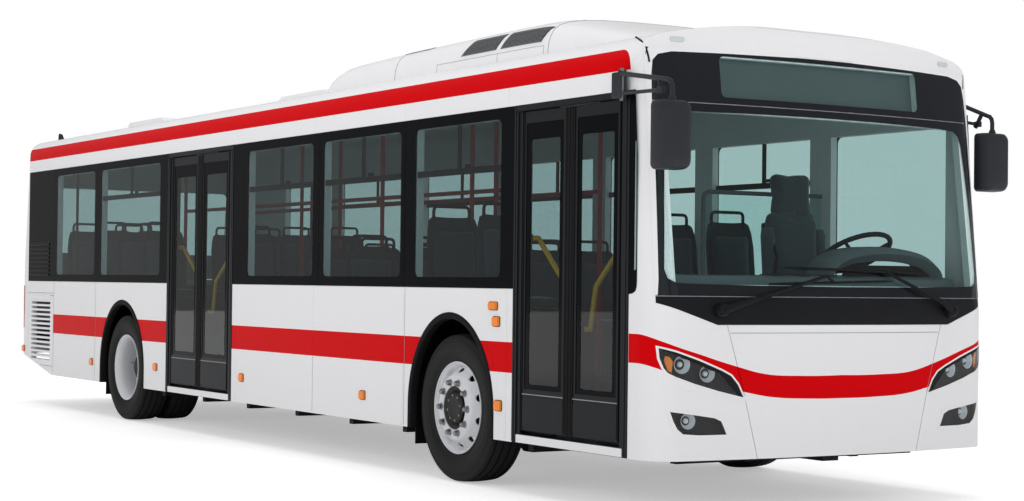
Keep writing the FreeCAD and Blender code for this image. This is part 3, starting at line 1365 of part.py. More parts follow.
def loop_handle(name, width):
    """The grab loop over a seat back."""
    out = f"({width} / 2 - 58)"
    within = f"({width} / 2 - 82)"
    return padded(name + "_loop", "YZ_Plane", (
        (f"-{out}", "940"), (f"-{within}", "940"), (f"-{within}", "1022"),
        (f"-{within} + 12", "1034"), (f"{within} - 12", "1034"), (within, "1022"),
        (within, "940"), (out, "940"), (out, "1030"), (f"{out} - 28", "1058"),
        (f"-{out} + 28", "1058"), (f"-{out}", "1030")), "-37", "-13")


passenger = fuse("passenger", *seat("passenger", "420"), loop_handle("passenger", "420"))
low_leg = block("leg_trim", ("-200", "600"), FAR, ("-100", "370"))
box_seat = cut("box_seat", passenger, low_leg)
window_y = "985"
aisle_y = "545"
SEAT_ROWS = (
    # x of the back, floor height, sides of the aisle
    (f"{FRONT} - 1700", "podium_z", "both"),
    (f"{FRONT} - 2400", "podium_z", "both"),
    (f"{FRONT} - 3080", "podium_z", "left"),
    (f"{FRONT} - 3760", "podium_z", "left"),
    (f"{FRONT} - 4440", "podium_z", "left"),
    (f"{REAR} - 1100", "rear_floor_z", "both"),
    (f"{REAR} - 1800", "rear_floor_z", "both"),
)
spots = []
for x, level, sides in SEAT_ROWS:
    for way in (("-", "") if sides == "both" else ("",)):
        for across in (window_y, aisle_y):
            spots.append((x, f"{way}{across}", level))
box_spots = []
for x, level in ((f"{FRONT} - 600", "housing_z + panel - 370"),
                 (f"{FRONT} + 60", "housing_z + panel - 370"),
                 (f"{REAR} - 560", "housing_z + panel - 370"),
                 (f"{REAR} + 100", "housing_z + panel - 370")):
    for way in ("-", ""):
        box_spots.append((x, f"{way}930", level))
node("passenger_seats", group("seats", copies("floor_seats", passenger, spots),
                              copies("housing_seats", box_seat, box_spots)))

driver_parts = seat("driver", "500")
driver_parts.append(block("headrest", ("-60", "0"), ("-130", "130"), ("1180", "1380")))
driver_parts.append(padded("driver_high_back", "XZ_Plane", (
    ("-45", "900"), ("20", "900"), ("0", "1190"), ("-60", "1200")), "-240", "240"))
node("driver_seat", at("driver_seat_set", fuse("driver_seat_whole", *driver_parts),
                       f"{FRONT} + 1000", "720", CAB_FLOOR))
node("driver_partition", block("partition", (f"{FRONT} + 690", f"{FRONT} + 720"),
                               ("200", f"{INNER} - 5"), (CAB_FLOOR, "1900")))


def ceiling(y):
    """The underside of the roof at a side place, less a running gap."""
    return (f"({CROWN} - wall - {CROWN_RADIUS} + sqrt(({CROWN_RADIUS} - wall)^2 - ({y})^2)"
            " + wall - running)")


POLES = (
    # x, foot, side
    (f"{FRONT} - 660", "floor_z", "-"), (f"{FRONT} - 660", "floor_z", ""),
    (f"{FRONT} - 1400", "floor_z", "-"), (f"{FRONT} - 2100", "floor_z", ""),
    (f"{FRONT} - 2800", "floor_z", "-"), (f"{FRONT} - 3500", "floor_z", ""),
    (f"{FRONT} - 4800", "floor_z", ""),
    (f"{REAR} + 400", "rear_floor_z", "-"), (f"{REAR} + 400", "rear_floor_z", ""),
    (f"{REAR} - 900", "rear_floor_z", "-"), (f"{REAR} - 900", "rear_floor_z", ""),
)
rails = []
for number, (x, foot, way) in enumerate(POLES):
    rails.append(rod(f"pole{number}", "z", foot, ceiling("pole_y + pole_radius"),
                     (x, f"{way}pole_y"), "pole_radius"))
for way in ("-", ""):
    rails.append(rod(f"long_rail{way}", "x", f"{REAR} - 900", f"{FRONT} - 660",
                     (f"{way}pole_y", "rail_z"), "rail_radius"))
node("handrails", fuse("handrails", *rails))


def finish():
    """Recomputes, checks every object and writes each sub-part's file."""
    doc.recompute()
    for thing in doc.Objects:
        if "Invalid" in thing.State or "Error" in thing.State:
            raise RuntimeError(f"{thing.Name} failed: {thing.State} {thing.getStatusString()}")
    for thing in NODES:
        if thing.Shape.isNull() or not thing.Shape.isValid():
            raise RuntimeError(f"{thing.Label} has no valid shape")
    os.makedirs("parts", exist_ok=True)
    for thing in NODES:
        thing.Shape.exportStep(f"parts/{thing.Label}.step")


finish()
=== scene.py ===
"""City bus looks: finishes, livery, glass, lamps, tyres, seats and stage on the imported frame."""

import json
import math

import bmesh
import bpy
from mathutils import Matrix, Vector
from mathutils.bvhtree import BVHTree
from mathutils.geometry import delaunay_2d_cdt


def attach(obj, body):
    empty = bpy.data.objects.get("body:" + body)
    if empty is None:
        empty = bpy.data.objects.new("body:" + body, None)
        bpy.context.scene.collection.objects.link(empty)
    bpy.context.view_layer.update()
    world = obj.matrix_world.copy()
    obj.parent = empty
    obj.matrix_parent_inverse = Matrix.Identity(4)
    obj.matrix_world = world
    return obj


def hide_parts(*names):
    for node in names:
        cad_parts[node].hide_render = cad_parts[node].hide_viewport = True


bl_info = {
    "name": "City bus finisher",
    "version": (1, 0, 0),
    "blender": (4, 5, 0),
    "location": "View3D > Sidebar > City bus",
    "description": "Finishes and trim pieces for a low-floor city bus",
    "category": "Object",
}

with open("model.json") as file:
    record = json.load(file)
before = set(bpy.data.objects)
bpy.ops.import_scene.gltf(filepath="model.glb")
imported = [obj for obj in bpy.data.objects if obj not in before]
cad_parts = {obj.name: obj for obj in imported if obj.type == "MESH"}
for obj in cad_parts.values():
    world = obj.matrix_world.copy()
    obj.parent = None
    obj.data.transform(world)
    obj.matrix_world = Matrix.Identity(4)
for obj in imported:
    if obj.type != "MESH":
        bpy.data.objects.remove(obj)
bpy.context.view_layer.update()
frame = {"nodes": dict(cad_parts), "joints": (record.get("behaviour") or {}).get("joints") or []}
NODES = frame["nodes"]
JOINTS = {joint["name"]: joint for joint in frame["joints"]}

# Places along the bus are counted from the two axles, as on a bus builder's drawing.
FRONT = JOINTS["front_wheel_spin_left"]["pos_m"][0]
REAR = JOINTS["rear_wheels_spin_left"]["pos_m"][0]
AXLE_Z = JOINTS["front_wheel_spin_left"]["pos_m"][2]
SIDE = 1.275
SIDES = (("right", -1), ("left", 1))
NOSE = FRONT + 2.290
TAIL = REAR - 3.000


def linear(code):
    """A hex sRGB colour as the linear values that shaders take."""
    parts = [int(code[i:i + 2], 16) / 255 for i in (1, 3, 5)]
    return tuple(c / 12.92 if c <= 0.04045 else ((c + 0.055) / 1.055) ** 2.4
                 for c in parts) + (1.0,)


# ---------------------------------------------------------------- what a user may change

def colour(name, description, code):
    """One colour of the bus."""
    return bpy.props.FloatVectorProperty(name=name, description=description, size=4,
                                         subtype="COLOR", min=0, max=1, default=linear(code))


def metres(name, description, default):
    """One size of the bus, in metres."""
    return bpy.props.FloatProperty(name=name, description=description, unit="LENGTH",
                                   default=default)


class BusColours(bpy.types.PropertyGroup):
    """The livery and the trim colours."""

    body: colour("Body", "Polyurethane enamel of the body panels", "#ECECEE")
    stripe: colour("Stripe", "Red livery stripes", "#D2050D")
    band: colour("Band", "Black ceramic border of the bonded windows", "#0B0C0E")
    doors: colour("Doors", "Anthracite enamel of the door leaves and frames", "#191B1E")
    glass: colour("Glass", "Grey-green tint of a pane's face", "#D4E0E0")
    screen: colour("Screen", "Light green tint of the windscreen's face", "#F0FAF9")
    seats: colour("Shells", "Slate blue moulded seat shells", "#27323A")
    cushions: colour("Cushions", "Woven seat cushions", "#2B3A46")
    rails: colour("Rails", "Red powder coat of the stanchions", "#A80F1C")
    grips: colour("Grips", "Yellow powder coat of the door handrails", "#E0A21A")
    markers: colour("Markers", "Amber side lamps", "#F28400")
    lining: colour("Lining", "Pale grey wall and ceiling lining", "#C9CED0")


class BusSizes(bpy.types.PropertyGroup):
    """Sizes of the trim that is added to the frame."""

    stripe_low: metres("Stripe foot", "Lower edge of the waist stripe", 0.735)
    stripe_high: metres("Stripe top", "Upper edge of the waist stripe", 0.923)
    tread_depth: metres("Tread depth", "Depth of the tyre's grooves", 0.012)
    frit_corner: metres("Window corner", "Corner radius of the clear window openings", 0.045)


def sizes():
    """The sizes as they are set."""
    return bpy.context.scene.bus_sizes


def colours():
    """The colours as they are set."""
    return bpy.context.scene.bus_colours


# ---------------------------------------------------------------- materials

# Size in metres of the slow colour changes in every finish.
CLOUD = 0.6


def add_node(tree, kind, values=None, links=None, **settings):
    """Adds one shader node with its settings, socket values and links."""
    made = tree.nodes.new(kind)
    for key, value in settings.items():
        setattr(made, key, value)
    for key, value in (values or {}).items():
        made.inputs[key].default_value = value
    for key, socket in (links or {}).items():
        tree.links.new(socket, made.inputs[key])
    return made


def maths(tree, operation, *terms):
    """A sum on shader values; every term is a number or a socket."""
    made = add_node(tree, "ShaderNodeMath", operation=operation)
    for socket, term in zip(made.inputs, terms):
        if isinstance(term, (int, float)):
            socket.default_value = term
        else:
            tree.links.new(term, socket)
    return made.outputs[0]


def shade(tint, factor):
    """The same colour, darker or lighter."""
    return tuple(min(1.0, c * factor) for c in tint[:3]) + (1.0,)


def surface(name, base, second, grain, bump, rough, values):
    """A finish on one shader: two colours that change slowly into each other, the size of its
    grain and the height of its bumps in metres, the lowest and highest roughness, and other
    values of the shader."""
    made = bpy.data.materials.new(name)
    made.use_nodes = True
    tree = made.node_tree
    shader = tree.nodes["Principled BSDF"]
    for key, value in values.items():
        shader.inputs[key].default_value = value
    spot = add_node(tree, "ShaderNodeTexCoord")
    fine = add_node(tree, "ShaderNodeTexNoise",
                    {"Scale": 1 / grain, "Detail": 3.0, "Roughness": 0.6},
                    {"Vector": spot.outputs["Object"]})
    slow = add_node(tree, "ShaderNodeTexNoise", {"Scale": 1 / CLOUD, "Detail": 4.0},
                    {"Vector": spot.outputs["Object"]})
    mix = add_node(tree, "ShaderNodeMix", {6: base, 7: second}, data_type="RGBA")
    tree.links.new(slow.outputs["Fac"], mix.inputs[0])
    tree.links.new(mix.outputs[2], shader.inputs["Base Color"])
    dull = add_node(tree, "ShaderNodeMapRange", {"To Min": rough[0], "To Max": rough[1]},
                    {"Value": fine.outputs["Fac"]})
    tree.links.new(dull.outputs["Result"], shader.inputs["Roughness"])
    if bump:
        raised = add_node(tree, "ShaderNodeBump", {"Strength": 1.0, "Distance": bump},
                          {"Height": fine.outputs["Fac"]})
        tree.links.new(raised.outputs["Normal"], shader.inputs["Normal"])
    return made, tree, shader, spot, mix


def between(tree, value, low, high, soft=0.0004):
    """1 where a value lies between two limits."""
    up = add_node(tree, "ShaderNodeMapRange", {"From Min": low - soft, "From Max": low + soft},
                  {"Value": value})
    down = add_node(tree, "ShaderNodeMapRange",
                    {"From Min": high - soft, "From Max": high + soft,
                     "To Min": 1.0, "To Max": 0.0}, {"Value": value})
    return maths(tree, "MULTIPLY", up.outputs[0], down.outputs[0])


def masked(tree, operation, *masks):
    """Several masks as one: MULTIPLY leaves their overlap, MAXIMUM all that they cover."""
    result = masks[0]
    for mask in masks[1:]:
        result = maths(tree, operation, result, mask)
    return result


# Lower and upper edge of the cove stripe, and the ellipse that rounds off its front end: start
# and reach along the bus and upwards.
COVE = (2.487, 2.612)
COVE_BEND = ((FRONT + 1.815, 0.135), (COVE[0], 0.126))
# Height of the front swoosh's two edges at places across the front, in metres from the middle.
SWOOSH_TOP = ((0.0, 0.777), (0.31, 0.777), (0.55, 0.790), (0.76, 0.838), (0.97, 0.898),
              (1.2, 0.972), (1.275, 1.012))
SWOOSH_FOOT = ((0.0, 0.644), (0.24, 0.646), (0.51, 0.660), (0.71, 0.694), (1.0, 0.752),
               (1.2, 0.815), (1.275, 0.850))


def curve_through(tree, value, points, reach=1.3):
    """A smooth curve through (place, height) points, both from 0 to reach."""
    bent = add_node(tree, "ShaderNodeFloatCurve")
    curve = bent.mapping.curves[0]
    while len(curve.points) < len(points):
        curve.points.new(0.5, 0.5)
    for point, (place, height) in zip(curve.points, points):
        point.location = (place / reach, height / reach)
    bent.mapping.update()
    tree.links.new(maths(tree, "MULTIPLY", value, 1 / reach), bent.inputs["Value"])
    return maths(tree, "MULTIPLY", bent.outputs[0], reach)


def livery():
    """Polyurethane enamel, sprayed: white, with the red stripes masked in."""
    tint = colours()
    made, tree, shader, spot, mix = surface(
        "polyurethane_enamel_sprayed", tint.body, shade(tint.body, 0.97), 0.004, 0.00002,
        (0.22, 0.30), {"IOR": 1.5, "Specular IOR Level": 0.025})
    x, y, z = add_node(tree, "ShaderNodeSeparateXYZ",
                       links={0: spot.outputs["Object"]}).outputs
    out = maths(tree, "ABSOLUTE", y)
    waist = masked(tree, "MULTIPLY", between(tree, out, SIDE - 0.02, 2.0),
                   between(tree, z, sizes().stripe_low, sizes().stripe_high),
                   between(tree, x, REAR - 1.967, FRONT + 1.954))
    squares = []
    for value, (start, reach) in zip((x, z), COVE_BEND):
        away = maths(tree, "MULTIPLY_ADD", value, 1 / reach, -start / reach)
        ahead = maths(tree, "MAXIMUM", away, 0.0)
        squares.append(maths(tree, "MULTIPLY", ahead, ahead))
    cove = masked(tree, "MULTIPLY", between(tree, out, SIDE - 0.075, 2.0),
                  between(tree, z, *COVE), between(tree, x, REAR - 2.835, FRONT + 2.0),
                  between(tree, maths(tree, "ADD", *squares), -1.0, 1.0))
    above = maths(tree, "SUBTRACT", z, curve_through(tree, out, SWOOSH_FOOT))
    below = maths(tree, "SUBTRACT", curve_through(tree, out, SWOOSH_TOP), z)
    swoosh = masked(tree, "MULTIPLY", between(tree, above, 0.0, 1.0),
                    between(tree, below, 0.0, 1.0),
                    between(tree, x, FRONT + 1.956, FRONT + 3.0))
    red = masked(tree, "MAXIMUM", waist, cove, swoosh)
    painted = add_node(tree, "ShaderNodeMix", {7: tint.stripe},
                       {0: red, 6: mix.outputs[2]}, data_type="RGBA")
    tree.links.new(painted.outputs[2], shader.inputs["Base Color"])
    return made


def pane(name, tint):
    """Toughened glass, tinted in the melt: sight lines pass straight, with a Fresnel gloss."""
    made = bpy.data.materials.new(name)
    made.use_nodes = True
    tree = made.node_tree
    tree.nodes.remove(tree.nodes["Principled BSDF"])
    clear = add_node(tree, "ShaderNodeBsdfTransparent", {"Color": tint})
    shine = add_node(tree, "ShaderNodeBsdfGlossy", {"Roughness": 0.015})
    # Only the face that the light enters by shines, so a slanting look stays clear.
    edge = add_node(tree, "ShaderNodeFresnel", {"IOR": 1.5})
    side = add_node(tree, "ShaderNodeNewGeometry")
    outer = maths(tree, "SUBTRACT", 1.0, side.outputs["Backfacing"])
    shown = maths(tree, "MULTIPLY", edge.outputs[0], outer)
    mixed = add_node(tree, "ShaderNodeMixShader",
                     links={0: shown, 1: clear.outputs[0], 2: shine.outputs[0]})
    tree.links.new(mixed.outputs[0], tree.nodes["Material Output"].inputs["Surface"])
    return made


# The finishes, by the names that the pieces use.
MATERIALS = {}


class BUS_OT_materials(bpy.types.Operator):
    """Makes every finish of the bus"""

    bl_idname = "bus.materials"
    bl_label = "Finishes"

    def execute(self, context):
        tint = colours()
        flat = {"IOR": 1.5, "Specular IOR Level": 0.16}
        # Base colour, second colour (or its brightness beside the base), grain, bump,
        # roughness and the shader's other values.
        make = {
            # Bonded ceramic border: black enamel fired on glass, smooth and glossy.
            "ceramic_frit_fired": (tint.band, 1.5, 0.01, 0.0, (0.08, 0.12),
                                   {"IOR": 1.5, "Specular IOR Level": 0.04}),
            # The same enamel in its greyer sun band round the windscreen.
            "ceramic_frit_sun_band": ("#191B1F", "#23262B", 0.01, 0.0, (0.08, 0.12), flat),
            # Anthracite enamel on door leaves: satin with a fine spray texture.
            "anthracite_enamel_satin": (tint.doors, 1.25, 0.003, 0.00003, (0.32, 0.42), flat),
            # ABS, injection moulded with a leather-like grain: dull black trim.
            "abs_moulded_black": ("#141517", "#1B1C1F", 0.0015, 0.00008, (0.42, 0.55), flat),
            # EPDM rubber, extruded: matt with a faint bloom.
            "epdm_rubber_extruded": ("#0D0D0E", "#17171A", 0.002, 0.00004, (0.62, 0.75), flat),
            # Carbon black tyre rubber, moulded: dull, greyer where it is scuffed.
            "tyre_rubber_moulded": ("#151516", "#232325", 0.003, 0.0001, (0.6, 0.8),
                                    {"Specular IOR Level": 0.35}),
            # Steel wheel, painted silver: metal flake lacquer.
            "silver_lacquer_sprayed": ("#DFE1E4", "#CFD1D4", 0.002, 0.00002, (0.30, 0.42),
                                       {"Metallic": 0.05, "Specular IOR Level": 0.3}),
            # Steel forging and frame, black chassis paint with road dust.
            "chassis_paint_brushed_on": ("#17181A", "#232426", 0.01, 0.0001, (0.5, 0.7), flat),
            # Grey cast iron of the engine block and hubs.
            "grey_iron_cast": ("#3A3B3D", "#4A4744", 0.003, 0.0002, (0.55, 0.75),
                               {"Metallic": 0.6}),
            # Zinc plated fasteners.
            "zinc_plated_steel": ("#A9ACB0", "#8D9094", 0.001, 0.00002, (0.25, 0.4),
                                  {"Metallic": 1.0}),
            # Polypropylene seat shells, moulded.
            "polypropylene_moulded": (tint.seats, 1.25, 0.0016, 0.0001, (0.38, 0.5), flat),
            # Powder coated steel tube, red.
            "powder_coat_red": (tint.rails, 1.15, 0.002, 0.00004, (0.22, 0.34),
                                {"Coat Weight": 0.3}),
            # Powder coated steel tube, yellow.
            "powder_coat_yellow": (tint.grips, 0.92, 0.002, 0.00004, (0.22, 0.34),
                                   {"Coat Weight": 0.3}),
            # Glass-fibre lining with a pale gel coat.
            "gel_coat_lining": (tint.lining, 0.95, 0.01, 0.00004, (0.4, 0.5), flat),
            # Vinyl floor sheet with grit.
            "vinyl_sheet_gritted": ("#55585B", "#63666A", 0.003, 0.0002, (0.6, 0.8), flat),
            # Amber, red and white lamp lenses, moulded acrylic.
            "acrylic_amber_moulded": (tint.markers, 1.1, 0.006, 0.0001, (0.12, 0.2),
                                      {"Coat Weight": 0.1}),
            "acrylic_red_moulded": ("#A80A10", "#C11218", 0.006, 0.0001, (0.12, 0.2),
                                    {"Coat Weight": 0.5}),
            "acrylic_white_moulded": ("#D8DCDF", "#C8CDD2", 0.006, 0.0001, (0.12, 0.2),
                                      {"Coat Weight": 0.5}),
            # Vacuum metallised reflector bowls.
            "reflector_metallised": ("#F4F5F6", "#DCDEE0", 0.004, 0.0, (0.06, 0.12),
                                     {"Metallic": 0.2}),
            # Silvered mirror glass.
            "mirror_silvered": ("#D5DADD", "#CBD1D5", 0.02, 0.0, (0.01, 0.03), {"Metallic": 1.0}),
            # Woven wool-blend moquette.
            "moquette_woven": (tint.cushions, 1.5, 0.0022, 0.0003, (0.8, 0.95),
                               {"Sheen Weight": 0.4}),
            # Plain dark wool cloth of the driver's seat.
            "moquette_plain": ("#2E363B", "#394349", 0.0018, 0.0003, (0.8, 0.95),
                               {"Sheen Weight": 0.3}),
            # ABS in a lighter grey, grained: the dashboard.
            "abs_moulded_grey": ("#535C61", "#5D666B", 0.0015, 0.00008, (0.40, 0.52),
                                 {"IOR": 1.5, "Specular IOR Level": 0.3}),
            # ABS in slate grey, grained: mirror housings.
            "abs_moulded_slate": ("#24272B", "#2C2F34", 0.0015, 0.00008, (0.40, 0.52),
                                  {"IOR": 1.5, "Specular IOR Level": 0.3}),
            # Grey powder coat of seat legs and inner frames.
            "frame_paint_grey": ("#54595C", "#60666A", 0.002, 0.00004, (0.35, 0.45), flat),
            # The same white enamel without the stripes.
            "enamel_white_sprayed": (tint.body, 0.97, 0.004, 0.00002, (0.22, 0.30),
                                     {"IOR": 1.5, "Specular IOR Level": 0.04}),
            # Polyurethane sealant in the panels' joints, tooled; also the grey line of painted
            # shade on the cowl's step.
            "grey_joint_sealant": ("#8A8C8F", "#7B7D80", 0.002, 0.00004, (0.5, 0.65), flat),
            # Anodised aluminium louvres, extruded.
            "aluminium_louvre_extruded": ("#8B8E91", "#777A7D", 0.002, 0.00002, (0.35, 0.5),
                                          {"Metallic": 0.3}),
            # The ground edge of a slim pane, which looks pale green.
            "glass_edge_ground": ("#93A8A2", "#86A099", 0.02, 0.0, (0.08, 0.15), flat),
        }
        for name, (base, second, *rest) in make.items():
            if isinstance(base, str):
                base, second = linear(base), linear(second)
            else:
                second = shade(base, second)
            MATERIALS[name] = surface(name, base, second, *rest)[0]
        MATERIALS["livery"] = livery()
        MATERIALS["glass_tinted"] = pane("float_glass_grey_green", tint.glass)
        MATERIALS["glass_screen"] = pane("laminated_glass_green", tint.screen)
        MATERIALS["lens_clear"] = pane("polycarbonate_clear_moulded", linear("#F2F5F7"))
        return {"FINISHED"}


# ---------------------------------------------------------------- shape helpers

def piece(name, shape, finish, smooth=None, body="body"):
    """A shape or mesh as a piece of the bus: its finish, the angle in degrees
    up to which its edges are smooth, and the body it rides on."""
    mesh = shape.mesh(name) if isinstance(shape, Shape) else shape
    thing = bpy.data.objects.new(name, mesh)
    bpy.context.scene.collection.objects.link(thing)
    for one in ([finish] if isinstance(finish, str) else finish):
        mesh.materials.append(MATERIALS[one])
    if smooth is not None:
        mesh.shade_smooth()
        mesh.set_sharp_from_angle(angle=math.radians(smooth))
    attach(thing, body)
    return thing


def circle(radius, count, start=0.0):
    """Points round a circle, as (u, v); start is where the first one lies, in steps."""
    turns = [2 * math.pi * (k + start) / count for k in range(count)]
    return [(radius * math.cos(turn), radius * math.sin(turn)) for turn in turns]


class Shape:
    """A mesh that is put together from simple solids."""

    def __init__(self):
        self.grid = bmesh.new()

    def points(self, places):
        """Adds points, still without faces."""
        return [self.grid.verts.new(place) for place in places]

    def face(self, corners, index=0):
        """Adds one face."""
        self.grid.faces.new(corners).material_index = index

    def skin(self, rows, wrap=False, index=0):
        """Adds faces between rows of points; wrap closes every row. A row may be one point."""
        for here, there in zip(rows, rows[1:]):
            for k in range(len(here) if wrap else len(here) - 1):
                after = (k + 1) % len(here)
                corners = list(dict.fromkeys((here[k], here[after], there[after], there[k])))
                if len(corners) > 2:
                    self.face(corners, index)

    def block(self, low, high, bevel=0.0, index=0, segments=2):
        """A box between two corners, with its edges rounded over."""
        before = set(self.grid.verts)
        made = bmesh.ops.create_cube(self.grid, size=1)["verts"]
        low, high = Vector(low), Vector(high)
        for vert in made:
            vert.co = Vector((low[i] + (vert.co[i] + 0.5) * (high[i] - low[i]) for i in range(3)))
        if bevel:
            edges = list({edge for vert in made for edge in vert.link_edges})
            bmesh.ops.bevel(self.grid, geom=edges, offset=bevel, segments=segments,
                            affect="EDGES", profile=0.6)
        fresh = [v for v in self.grid.verts if v not in before]
        for face in {f for v in fresh for f in v.link_faces}:
            face.material_index = index
        return fresh

    def tube(self, path, radius, sides=12, closed=False, index=0):
        """A round bar along a line of points; radius may be one number for each point."""
        points = [Vector(point) for point in path]
        count = len(points)
        radii = radius if isinstance(radius, (list, tuple)) else [radius] * count
        rings = []
        normal = None
        for number, point in enumerate(points):
            ahead = points[(number + 1) % count] if closed or number < count - 1 else point
            behind = points[number - 1] if closed or number else point
            way = (ahead - behind).normalized()
            if normal is None:
                normal = way.orthogonal().normalized()
            normal = (normal - way * normal.dot(way)).normalized()
            across = way.cross(normal)
            rings.append(self.points(point + radii[number] * (u * normal + v * across)
                                     for u, v in circle(1, sides)))
        self.skin(rings + rings[:1] if closed else rings, True, index)
        if not closed:
            self.face(rings[0][::-1], index)
            self.face(rings[-1], index)

    def lathe(self, profile, centre, axis=(0, 1, 0), steps=48, index=0, closed=False):
        """A profile of (radius, place along the axis) turned about an axis."""
        axis = Vector(axis).normalized()
        first = axis.orthogonal().normalized()
        second = axis.cross(first)
        centre = Vector(centre)
        rings = []
        for radius, along in profile:
            if radius < 1e-6:
                rings.append(self.points([centre + axis * along]) * steps)
                continue
            rings.append(self.points(centre + axis * along + radius * (u * first + v * second)
                                     for u, v in circle(1, steps)))
        self.skin(rings + rings[:1] if closed else rings, True, index)

    def plate(self, outline, thickness, place, index=0):
        """A flat outline with a thickness; place turns (u, v, w) into a point."""
        back, front = (self.points(place(u, v, w) for u, v in outline) for w in (0, thickness))
        self.face(back[::-1], index)
        self.face(front, index)
        self.skin([back, front], True, index)

    def mesh(self, name):
        """The finished mesh, its faces turned outwards."""
        bmesh.ops.recalc_face_normals(self.grid, faces=self.grid.faces)
        mesh = bpy.data.meshes.new(name)
        self.grid.to_mesh(mesh)
        self.grid.free()
        return mesh


def rounded(low, high, radius, steps=6):
    """The outline of a rounded rectangle, anticlockwise."""
    (u0, v0), (u1, v1) = low, high
    points = []
    for u, v, start in ((u1 - radius, v0 + radius, -90), (u1 - radius, v1 - radius, 0),
                        (u0 + radius, v1 - radius, 90), (u0 + radius, v0 + radius, 180)):
        for k in range(steps + 1):
            angle = math.radians(start + 90 * k / steps)
            points.append((u + radius * math.cos(angle), v + radius * math.sin(angle)))
    return points


def ring_plate(shape, outer, inner, place, thickness, index=0):
    """A flat frame between a rectangle (two corners) and a rounded opening inside it."""
    (u0, v0), (u1, v1) = outer
    corners = ((u1, v0), (u1, v1), (u0, v1), (u0, v0))
    count = len(inner)
    quarter = count // 4
    for depth in (0.0, thickness):
        ring = shape.points(place(u, v, depth) for u, v in inner)
        edge = shape.points(place(u, v, depth) for u, v in corners)
        for k in range(count):
            here = edge[min(k // quarter, 3)]
            there = edge[((k + 1) // quarter) % 4]
            shape.face((ring[k], here, ring[(k + 1) % count]), index)
            if there is not here:
                shape.face((ring[(k + 1) % count], here, there), index)


def ribbon(shape, lines, index=0, closed=True):
    """Faces between lines of points that run side by side."""
    rows = [shape.points(line) for line in lines]
    shape.skin(rows + rows[:1] if closed else rows, index=index)
    if closed:
        shape.face([row[0] for row in rows], index)
        shape.face([row[-1] for row in reversed(rows)], index)


def point_in(point, outline):
    """True where a point lies inside an outline."""
    hit = False
    u, v = point
    for k, (u0, v0) in enumerate(outline):
        u1, v1 = outline[k - 1]
        if (v0 > v) != (v1 > v) and u < (u1 - u0) * (v - v0) / (v1 - v0) + u0:
            hit = not hit
    return hit


def off_side(way, first, second):
    """The lower and the higher y of two distances out from a wall's face."""
    return sorted((way * (SIDE + first), way * (SIDE + second)))


def linked(outlines):
    """The points of closed outlines, and the edges between them."""
    verts, edges = [], []
    for outline in outlines:
        first, count = len(verts), len(outline)
        verts += outline
        edges += [(first + k, first + (k + 1) % count) for k in range(count)]
    return verts, edges


def filled(verts, edges, wanted):
    """Triangles between the points, along the edges, wherever their middle is wanted."""
    spots, _, faces, *_ = delaunay_2d_cdt([Vector(v) for v in verts], edges, [], 0, 1e-6)
    return spots, [face for face in faces if wanted(
        [sum(spots[i][k] for i in face) / len(face) for k in range(2)])]


def thicken(shape, faces, first, second):
    """Two skins of the same faces and the rim between them; points without a face go."""
    rim = {}
    for face in faces:
        shape.face([first[i] for i in face])
        shape.face([second[i] for i in reversed(face)])
        for k in range(len(face)):
            pair = (face[k], face[(k + 1) % len(face)])
            rim[frozenset(pair)] = None if frozenset(pair) in rim else pair
    for pair in rim.values():
        if pair:
            a, b = pair
            shape.face((first[b], first[a], second[a], second[b]))
    for vert in [v for v in shape.grid.verts if not v.link_faces]:
        shape.grid.verts.remove(vert)


# The CAD nodes' surfaces, as they are first looked up.
TREES = {}


def landing(nodes, origin, way):
    """The first point where a line meets one of the CAD nodes, and the surface's normal."""
    best = None
    for name in nodes:
        if name not in TREES:
            mesh = NODES[name].data
            TREES[name] = BVHTree.FromPolygons([v.co for v in mesh.vertices],
                                               [p.vertices[:] for p in mesh.polygons])
        spot, normal, _, distance = TREES[name].ray_cast(Vector(origin), Vector(way))
        if spot and (best is None or distance < best[2]):
            best = (spot, normal, distance)
    return best


